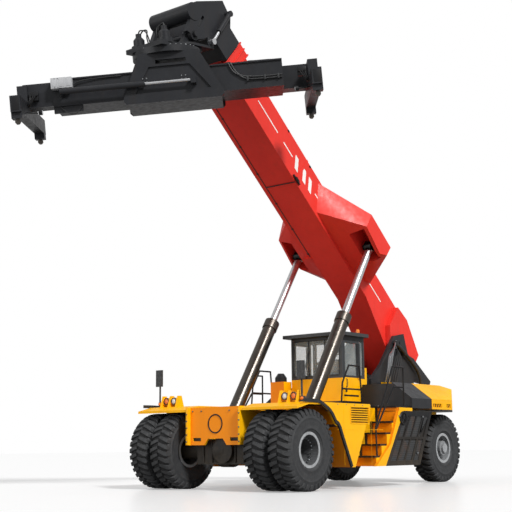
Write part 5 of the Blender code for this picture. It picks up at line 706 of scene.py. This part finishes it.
seat_shape = bmesh.new()
cushion(seat_shape, (0, 3.68, 2.365), (0.49, 0.38, 0.115), 0.022)
cushion(seat_shape, (0, 3.93, 2.63), (0.46, 0.10, 0.52), 0.016)
seat_pads = piece("seat_pads", seat_shape, cloth, smooth=60)
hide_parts("seat")
seat_base = bmesh.new()
block(seat_base, -0.15, 0.15, 3.59, 3.89, 1.984, 2.20, 0.015)
for fold in range(5):
    block(seat_base, -0.17, 0.17, 3.57, 3.91, 2.06 + fold * 0.028, 2.076 + fold * 0.028, 0.006)
block(seat_base, -0.20, 0.20, 3.53, 3.90, 2.20, 2.30, 0.02)
for way in (-1, 1):
    block(seat_base, way * 0.285 - 0.03, way * 0.285 + 0.03, 3.60, 3.90, 2.50, 2.54, 0.014)
    block(seat_base, way * 0.27 - 0.015, way * 0.27 + 0.015, 3.88, 3.94, 2.30, 2.51, 0.006)
    block(seat_base, way * 0.22 - 0.04, way * 0.22 + 0.055, 3.86, 3.92, 2.28, 2.31, 0.006)
piece("seat_suspension_and_armrests", seat_base, PLASTIC)


# ------------------------ boom markings, hoses and fittings
def boom_side_marks(bm):
    """The side's white line and three slanted bars, 2 mm of paint film."""
    film = (0.4152, 0.4172)
    for start, end in ((1.00, 2.25), (3.45, 4.52), (5.62, 6.05), (6.32, 7.22)):
        prism(bm, "X", [(-start, 0.545), (-end, 0.545), (-end, 0.575), (-start, 0.575)], *film)
    for start in (4.62, 4.90, 5.27):
        prism(bm, "X", [(-start, 0.42), (-start - 0.14, 0.42), (-start - 0.31, 0.70), (-start - 0.17, 0.70)],
              *film)


def boom_clips(bm):
    """The strap's lock plate and bolt, and hose clips along the upper edge."""
    block(bm, 0.4245, 0.475, -5.27, -5.13, 0.20, 0.27, 0.012)
    for y0, y1 in ((-5.36, -5.27), (-5.13, -5.06)):
        block(bm, 0.4245, 0.46, y0, y1, 0.215, 0.255, 0.010)
    hexagon(bm, "X", 0.03, 0.014, 0.475, (-5.20, 0.235))
    for along in (3.2, 4.2, 5.05, 6.1, 7.1, 8.0):
        block(bm, 0.415, 0.43, -along - 0.03, -along + 0.03, 0.895, 0.93, 0.004)


both("boom_side_marking", boom_side_marks, WHITE, "boom", BOOM)
both("boom_clips", boom_clips, BLACK, "boom", BOOM)
duct_seal = bmesh.new()
pipe(duct_seal, [(-0.428, -3.0, 0.188), (-0.428, -7.9, 0.188)], 0.012)
for along in (3.1, 3.9, 4.7, 5.6, 6.4, 7.2, 7.85):
    block(duct_seal, -0.452, -0.40, -along - 0.02, -along + 0.02, 0.172, 0.1865, 0.004)
block(duct_seal, -0.415, 0.415, -5.212, -5.188, 0.166, 0.1745, 0.003)
piece("duct_seal", duct_seal, HOSE, "boom", BOOM)
top_pipes = bmesh.new()
for x_pipe in (-0.24, -0.17, -0.10, 0.12, 0.19):
    pipe(top_pipes, [(x_pipe, -0.55, 0.965), (x_pipe, -8.05, 0.965)], 0.015)
for along in (0.8, 2.2, 3.6, 5.1, 6.5, 7.9):
    for x0, x1 in ((-0.28, -0.06), (0.08, 0.23)):
        block(top_pipes, x0, x1, -along - 0.03, -along + 0.03, 0.9452, 0.985, 0.005)
piece("boom_top_pipes", top_pipes, BLACK, "boom", BOOM)

# ------------------------ front plate and axle
PLATE_FACE = -0.4105
PLATE_SIDE = 0.705
front = bmesh.new()
for way in (-1, 1):
    for up in (0.98, 1.12, 1.26, 1.40, 1.54):
        hexagon(front, "Y", 0.034, -0.016, -0.5036, (way * PLATE_SIDE, up))
for x_bolt in (-0.62, -0.38, 0.38, 0.62):
    hexagon(front, "Y", 0.034, -0.016, PLATE_FACE, (x_bolt, 1.60))
piece("front_plate_bolts", front, FORGED)
edges = bmesh.new()
for way in (-1, 1):
    block(edges, way * PLATE_SIDE - 0.0245, way * PLATE_SIDE + 0.0245, -0.5035, -0.5005, 0.92, 1.67, 0.001)
piece("front_plate_edges", edges, PLAIN_YELLOW)
boss = bmesh.new()
turned(boss, "Y", [(PLATE_FACE, 0.198), (-0.420, 0.195), (-0.420, 0.172), (PLATE_FACE, 0.169)], 40,
       (0, 0, 1.34), closed=True)
piece("front_plate_boss", boss, BLACK)
slots = bmesh.new()
for way in (-1, 1):
    block(slots, way * 0.50 - 0.105, way * 0.50 + 0.105, -0.385, -0.375, 0.995, 1.055, 0.002)
piece("front_slot_liners", slots, BLACK)

LAMP_X, FLASHER_X, LAMP_UP = 1.51, 1.73, 1.855
DOME = [(-0.032, 0.063), (-0.044, 0.058), (-0.050, 0.040), (-0.053, 0.018), (-0.053, 0.001)]


def lamp_bezels(bm):
    """Bezels of the fender lamps."""
    for x_lamp in (LAMP_X, FLASHER_X):
        turned(bm, "Y", [(-0.045, 0.079), (-0.052, 0.072), (-0.052, 0.064), (-0.0305, 0.060),
                         (-0.0305, 0.079)], 28, (x_lamp, 0, LAMP_UP), closed=True)


def indicator(bm):
    """The round orange lamp by the front fender's edge."""
    turned(bm, "Y", [(-0.03, 0.001), (-0.03, 0.038), (-0.05, 0.036), (-0.062, 0.022), (-0.066, 0.001)], 24,
           (1.93, 0, 1.80))


both("lamp_bezels", lamp_bezels, PLASTIC)
both("lamp_lenses", lambda bm: turned(bm, "Y", DOME, 28, (LAMP_X, 0, LAMP_UP)), LENS, smooth=60)
both("flasher_lenses", lambda bm: turned(bm, "Y", DOME, 28, (FLASHER_X, 0, LAMP_UP)), AMBER,
     smooth=60)
both("indicator_lenses", indicator, AMBER, smooth=60)
both("indicator_bases", lambda bm: block(bm, 1.88, 1.98, -0.032, 0.03, 1.731, 1.845, 0.012), PLASTIC)


def arch_lip(bm):
    """The black rubber lip round the front wheel's arch and down the flank's front edge."""
    arch = ((-0.30, 1.731), (0.05, 1.731), (0.25, 1.712), (0.45, 1.625), (0.62, 1.525), (0.80, 1.302))
    flank_edge = ((0.86, 1.33), (0.94, 1.262), (1.06, 1.03), (1.36, 0.445))
    for places, inner, outer in ((arch, 2.1505, 2.176), (flank_edge, 2.1005, 2.140)):
        path = through([(0, y, z) for y, z in places], 4)
        for first, second in zip(path, path[1:]):
            away = Vector((0, -(second.z - first.z), second.y - first.y)).normalized()
            shape = [(point.y + away.y * shift, point.z + away.z * shift)
                     for point, shift in ((first, -0.012), (second, -0.012), (second, 0.052), (first, 0.052))]
            prism(bm, "X", shape, inner, outer)


both("arch_lip", arch_lip, HOSE)

# ------------------------ body sides
# Just off the flank's plate, the back of its openings, and the counterweight's vents from y to y
FLANK = 2.1002
RECESS = (2.0705, 2.074)
VENTS = ((4.80, 5.20), (5.42, 5.62))


def flank_seams(bm):
    """Welded joints and door lines of the flank, and the louvre's frame."""
    block(bm, FLANK, 2.1032, 0.92, 2.62, 1.195, 1.203, 0.001)
    for y_line in (1.16, 2.16):
        block(bm, FLANK, 2.1028, y_line - 0.003, y_line + 0.003, 0.48, 1.70, 0.001)
    for y0, y1, z0, z1 in ((1.40, 2.11, 1.315, 1.33), (1.40, 2.11, 1.655, 1.67), (1.40, 1.415, 1.33, 1.655),
                           (2.095, 2.11, 1.33, 1.655)):
        block(bm, FLANK, 2.108, y0, y1, z0, z1, 0.002)


def louvre_shade_sheets(bm):
    """Dark brown sheet behind the louvre's slots and the counterweight's vents: painted shade of the space
    behind them.
    """
    for i in range(7):
        block(bm, *RECESS, 1.432, 2.078, 1.342 + i * 0.047, 1.364 + i * 0.047)
    for y0, y1 in VENTS:
        block(bm, *RECESS, y0 + 0.002, y1 - 0.002, 1.732, 1.808)


def deck_edge(bm):
    """Bolts along the deck's edge."""
    for y_bolt in (0.95, 1.25, 1.55, 1.85, 2.15, 2.45):
        hexagon(bm, "X", 0.024, 0.012, FLANK, (y_bolt, 1.70))


both("flank_seams", flank_seams, YELLOW)
both("louvre_shade_sheets", louvre_shade_sheets, SHADED)
both("deck_edge_bolts", deck_edge, STEEL)

sheet, sheet_tree, sheet_shader, sheet_place = blank("perforated_steel_sheet_black")
# punched sheet: round 25 mm holes on a 40 mm pitch, painted black as the shade behind them, rusty grey enamel
# between
HOLE_PITCH = 0.04
waves = []
for axis in ("Y", "Z"):
    phase = calculated(sheet_tree, "MULTIPLY", apart(sheet_tree, sheet_place)[axis], 2 * math.pi / HOLE_PITCH)
    waves.append(calculated(sheet_tree, "SINE", phase))
hole = spread(sheet_tree, calculated(sheet_tree, "ADD", *waves), 0.4, 0.7)
rust = blotches(sheet_tree, sheet_place, 0.3, 4, 0.5, 0.7, 0, 0.55)
rust = colour_mix(sheet_tree, rust, "#3A3B3C", "#5A3A22")
feed(sheet_tree, sheet_shader, {"Base Color": colour_mix(sheet_tree, hole, rust, "#080808"),
                                "Roughness": 0.5})
bumped(sheet_tree, sheet_shader, hole, -0.5, 0.004)


def mesh_bays(bm):
    """Punched sheets in the bays of the side panel, which lean back with its front edge."""
    lean, bay_wide, bay_tall = 0.56, 0.28, 0.48
    for low in (0.50, 1.06):
        high = low + bay_tall
        start, top = (2.79 + (z - 0.44) * lean for z in (low, high))
        for shift in (0, 0.34, 0.68, 1.02):
            end, far = min(start + shift + bay_wide, 4.10), min(top + shift + bay_wide, 4.60)
            prism(bm, "X", [(start + shift, low), (end, low), (far, high), (top + shift, high)], 2.083, 2.087)


def panel_latches(bm):
    """Catches of the side panel and the engine door."""
    for y_latch, up in ((3.30, 1.50), (4.30, 1.50), (4.02, 0.70)):
        block(bm, 2.1005, 2.118, y_latch - 0.03, y_latch + 0.03, up - 0.02, up + 0.02, 0.005)
        turned(bm, "X", [(2.118, 0.012), (2.126, 0.010)], 10, (0, y_latch, up))


both("side_panel_mesh", mesh_bays, sheet)
both("panel_latches", panel_latches, STEEL)

fan = bmesh.new()
FAN = Vector((0, 3.45, 1.46))
turned(fan, "X", [(2.1008, 0.001), (2.1008, 0.145), (2.118, 0.150), (2.130, 0.140), (2.130, 0.112),
                  (2.112, 0.105), (2.112, 0.001)], 36, FAN)
for spoke in range(12):
    angle = spoke * math.pi / 6
    ahead = Vector((0, math.cos(angle), math.sin(angle)))
    pipe(fan, [FAN + Vector((2.120, 0, 0)) + ahead * reach for reach in (0.02, 0.12)], 0.005, 6)
turned(fan, "X", [(2.112, 0.035), (2.130, 0.030)], 16, FAN)
piece("cooling_outlet_left", fan, BLACK)


def vent_bars(bm):
    """Slanted bars across the counterweight's vents."""
    for (y0, y1), count in zip(VENTS, (4, 2)):
        for i in range(count):
            start = y0 + 0.04 + i * (y1 - y0) / count
            middle, end = start + 0.03, start + 0.06
            prism(bm, "X", [(start, 1.735), (middle, 1.735), (end, 1.805), (middle, 1.805)], 2.085, 2.095)


both("counterweight_vent_bars", vent_bars, YELLOW)
# the rear lamp clusters: a housing and two lenses on it
for name, x0, x1, y0, y1, z0, z1, bevel, finish, slot in (
        ("housings", 0.84, 1.24, 7.2002, 7.235, 1.80, 1.92, 0.01, PLASTIC, "black"),
        ("red_lenses", 0.86, 1.03, 7.2352, 7.243, 1.815, 1.905, 0.004, RED_LENS, "red"),
        ("amber_lenses", 1.06, 1.22, 7.2352, 7.243, 1.815, 1.905, 0.004, AMBER, "yellow")):
    both("tail_lamp_" + name, lambda bm: block(bm, x0, x1, y0, y1, z0, z1, bevel), finish)


# ------------------------ towers, hoses and cab roof
def tower_hoses(bm):
    """Clamped hydraulic hoses from the tower's manifold up to the boom foot."""
    for i in range(4):
        x_hose = 0.70 + 0.03 * i
        hose(bm, [(x_hose, 5.10 + 0.05 * i, 2.12), (x_hose + 0.05, 5.20 + 0.05 * i, 2.55),
                  (x_hose + 0.03, 5.45 + 0.03 * i, 2.95), (0.69, 5.60, 3.10 + 0.03 * i)], 0.019)


def braided_hoses(bm):
    """Steel-braided hoses looping from the stair side up the tower's outer face to the boom's foot."""
    for i in range(3):
        y_hose = 4.74 + 0.09 * i
        hose(bm, [(0.86, y_hose, 2.3605), (0.94 - 0.02 * i, y_hose + 0.02, 2.66),
                  (0.90, y_hose + 0.16, 2.98 + 0.05 * i), (0.80, 5.26 + 0.04 * i, 3.16 + 0.07 * i),
                  (0.705, 5.52, 3.24 + 0.07 * i)], 0.017, 7)
        block(bm, 0.6805, 0.725, 5.49, 5.55, 3.21 + 0.07 * i, 3.27 + 0.07 * i, 0.006)


both("tower_hoses", tower_hoses, HOSE)
both("tower_braided_hoses", braided_hoses, STEEL)
sheath = bmesh.new()
hose(sheath, [(0.73, 5.42, 3.37), (0.745, 5.72, 3.20), (0.75, 6.10, 2.96), (0.755, 6.42, 2.71),
              (0.76, 6.56, 2.45), (0.76, 6.60, 2.1735)], 0.044, 8, 10)
for y_clip, z_clip in ((5.50, 3.33), (5.86, 3.12)):
    block(sheath, 0.6805, 0.78, y_clip - 0.04, y_clip + 0.04, z_clip - 0.06, z_clip + 0.06, 0.01)
piece("boom_foot_hose_sheath", sheath, HOSE)

BEACON = (0.62, 3.98, 0)
beacon_base, beacon = bmesh.new(), bmesh.new()
turned(beacon_base, "Z", [(3.4405, 0.001), (3.4405, 0.055), (3.475, 0.055), (3.48, 0.045)], 20, BEACON)
piece("beacon_base", beacon_base, PLASTIC)
turned(beacon, "Z", [(3.4805, 0.001), (3.4805, 0.044), (3.545, 0.042), (3.565, 0.030), (3.572, 0.001)], 24,
       BEACON)
piece("beacon_lens", beacon, AMBER, smooth=60)


def door_handle(bm):
    """The cab door's pull handle and lock."""
    hose(bm, [(0.7205, 3.30, 2.20), (0.752, 3.31, 2.21), (0.752, 3.31, 2.36), (0.7205, 3.30, 2.37)], 0.009, 4)
    block(bm, 0.7205, 0.733, 3.27, 3.33, 2.08, 2.15, 0.004)


both("cab_door_handle", door_handle, PLASTIC, "cab_side_door_{}")

# ------------------------ slewing head and spreader
plate_bolts = bmesh.new()
for l_bolt in (-0.49, -0.41, 0.29, 0.37):
    for n_bolt in (-0.62, -0.55):
        hexagon(plate_bolts, "Y", 0.026, -0.008, -0.5905, (l_bolt, n_bolt))
piece("carriage_bolts", plate_bolts, STEEL, "carriage", SPREADER)
one_bolt = bmesh.new()
hexagon(one_bolt, "X", 0.034, 0.02, 0.0, (0.655, 0))
ring_bolts = repeated(one_bolt, 36, STEEL)
ring_bolts.transform(Matrix.Translation((0, -0.315, -0.3195)) @ Matrix.Rotation(math.radians(-90), 4, "Y"))
piece("slewing_ring_bolts", ring_bolts, STEEL, "yoke", YOKE)

# The height at which hoses lie in the beam's tray, and how far before the beam's face
TRAY = -0.3135
BEAM_HOSE = -0.478
spreader_hoses = bmesh.new()
for i in range(3):
    e_hose = -0.19 + 0.05 * i
    hose(spreader_hoses, [(1.56 + 0.03 * i, e_hose, TRAY), (1.67, e_hose - 0.04, -0.302),
                          (1.78, e_hose - 0.07, TRAY), (2.05, e_hose - 0.06, TRAY),
                          (2.26, e_hose, TRAY)], 0.016)
# the slack loop hangs past the end of the carriage's side shift
hose(spreader_hoses, [(-2.19, -0.4595, -0.93), (-2.06, -0.48, -1.05), (-1.89, -0.48, -1.09),
                      (-1.77, -0.4595, -0.97)], 0.009, 8, 6)
piece("spreader_hoses", spreader_hoses, HOSE, "spreader_beam", SPREADER)
box_cover = bmesh.new()
block(box_cover, -2.325, -1.90, -0.622, -0.4505, -0.586, -0.366, 0.012)
for l_box in (-2.25, -2.11, -1.97):
    block(box_cover, l_box - 0.045, l_box + 0.045, -0.6265, -0.6205, -0.55, -0.40, 0.004)
piece("control_box_cover", box_cover, PALE, "spreader_beam", SPREADER)
beam_hoses = bmesh.new()
for shift in (0, 0.045):
    hose(beam_hoses, [(1.20 + shift, -0.40, -0.345), (1.24 + shift, -0.475, -0.37),
                      (1.34 + shift, BEAM_HOSE, -0.56), (1.56, BEAM_HOSE, -0.66 - shift),
                      (1.90, BEAM_HOSE, -0.69 - shift), (2.30, BEAM_HOSE, -0.69 - shift)], 0.017)
hose(beam_hoses, [(-1.88, -0.50, -0.50), (-1.70, -0.50, -0.44), (-1.3, BEAM_HOSE, -0.415),
                  (-0.92, BEAM_HOSE, -0.415)], 0.012)
for l_clip in (1.60, 1.95, 2.22):
    block(beam_hoses, l_clip - 0.02, l_clip + 0.02, -0.503, -0.4505, -0.765, -0.665, 0.004)
piece("beam_face_hoses", beam_hoses, HOSE, "spreader_beam", SPREADER)
rod_sleeve = bmesh.new()
# thinner than the 0.5 mm that the barrel's bore leaves round the rod
turned(rod_sleeve, "X", [(-1.24, 0.0303), (0.46, 0.0303)], 32, (0, -0.675, -0.67))
piece("shift_rod_chrome", rod_sleeve, CHROME, "carriage", SPREADER)

FLOOD = (0, -0.66, -1.05)


def arm_fittings(bm, way):
    """Valve block, hose loops and flood lamp by the end beam, and the end beam's dark ends."""
    block(bm, way * 2.70 - 0.09, way * 2.70 + 0.09, -0.50, -0.4165, -0.76, -0.58, 0.01)
    for i in range(3):
        turned(bm, "Y", [(-0.535, 0.02), (-0.50, 0.024)], 10, (way * (2.64 + 0.06 * i), 0, -0.66))
        hose(bm, [(way * (2.64 + 0.06 * i), -0.53, -0.66), (way * (2.66 + 0.05 * i), -0.60, -0.70 - 0.02 * i),
                  (way * (2.76 + 0.02 * i), -0.60, -0.86), (way * 2.80, -0.52, -0.90)], 0.012, 5)
    for e_side in (-1, 1):
        block(bm, way * 2.9265 - 0.07, way * 2.9265 + 0.07, *sorted((e_side * 1.2848, e_side * 1.2875)),
              -1.09, -0.84, 0.001)
        block(bm, *sorted((way * 3.0268, way * 3.0295)), e_side * 0.25 - 0.16, e_side * 0.25 + 0.16,
              -0.74, -0.52, 0.001)
    hose(bm, [(way * 2.8262, -0.62, -1.02), (way * 2.72, -0.64, -1.04), (way * 2.60, -0.66, -1.05)], 0.012, 4)
    turned(bm, "X", [(way * 2.60, 0.015), (way * 2.585, 0.05), (way * 2.53, 0.055), (way * 2.52, 0.048)], 16,
           FLOOD)


for label, way in SIDES:
    fittings, flood = bmesh.new(), bmesh.new()
    arm_fittings(fittings, way)
    piece("arm_fittings_" + label, fittings, BLACK, "arm_" + label, SPREADER)
    turned(flood, "X", [(way * 2.5195, 0.046), (way * 2.514, 0.040), (way * 2.510, 0.02),
                        (way * 2.509, 0.001)], 16, FLOOD)
    piece("arm_flood_lens_" + label, flood, LENS, "arm_" + label, SPREADER)

drive_hoses = bmesh.new()
for way in (-1, 1):
    for shift in (0, 0.05):
        hose(drive_hoses, [(way * 0.36, -0.72 + shift, 0.095), (way * (0.33 - shift), -0.70 + shift, 0.17),
                           (way * (0.20 - shift), -0.68, 0.13), (way * 0.14, -0.66 - shift, -0.02),
                           (way * 0.13, -0.62 - shift, -0.198)], 0.014)
    turned(drive_hoses, "Z", [(0.1005, 0.03), (0.112, 0.024)], 12, (way * 0.36, -0.72, 0))
piece("slew_drive_hoses", drive_hoses, HOSE, "yoke", YOKE)
screws = bmesh.new()
for l_box in (-2.245, -2.18):
    for n_box in (-0.385, -0.565):
        hexagon(screws, "Y", 0.02, -0.008, -0.6222, (l_box, n_box))
piece("control_box_screws", screws, STEEL, "spreader_beam", SPREADER)

low, high = CAD_BOX
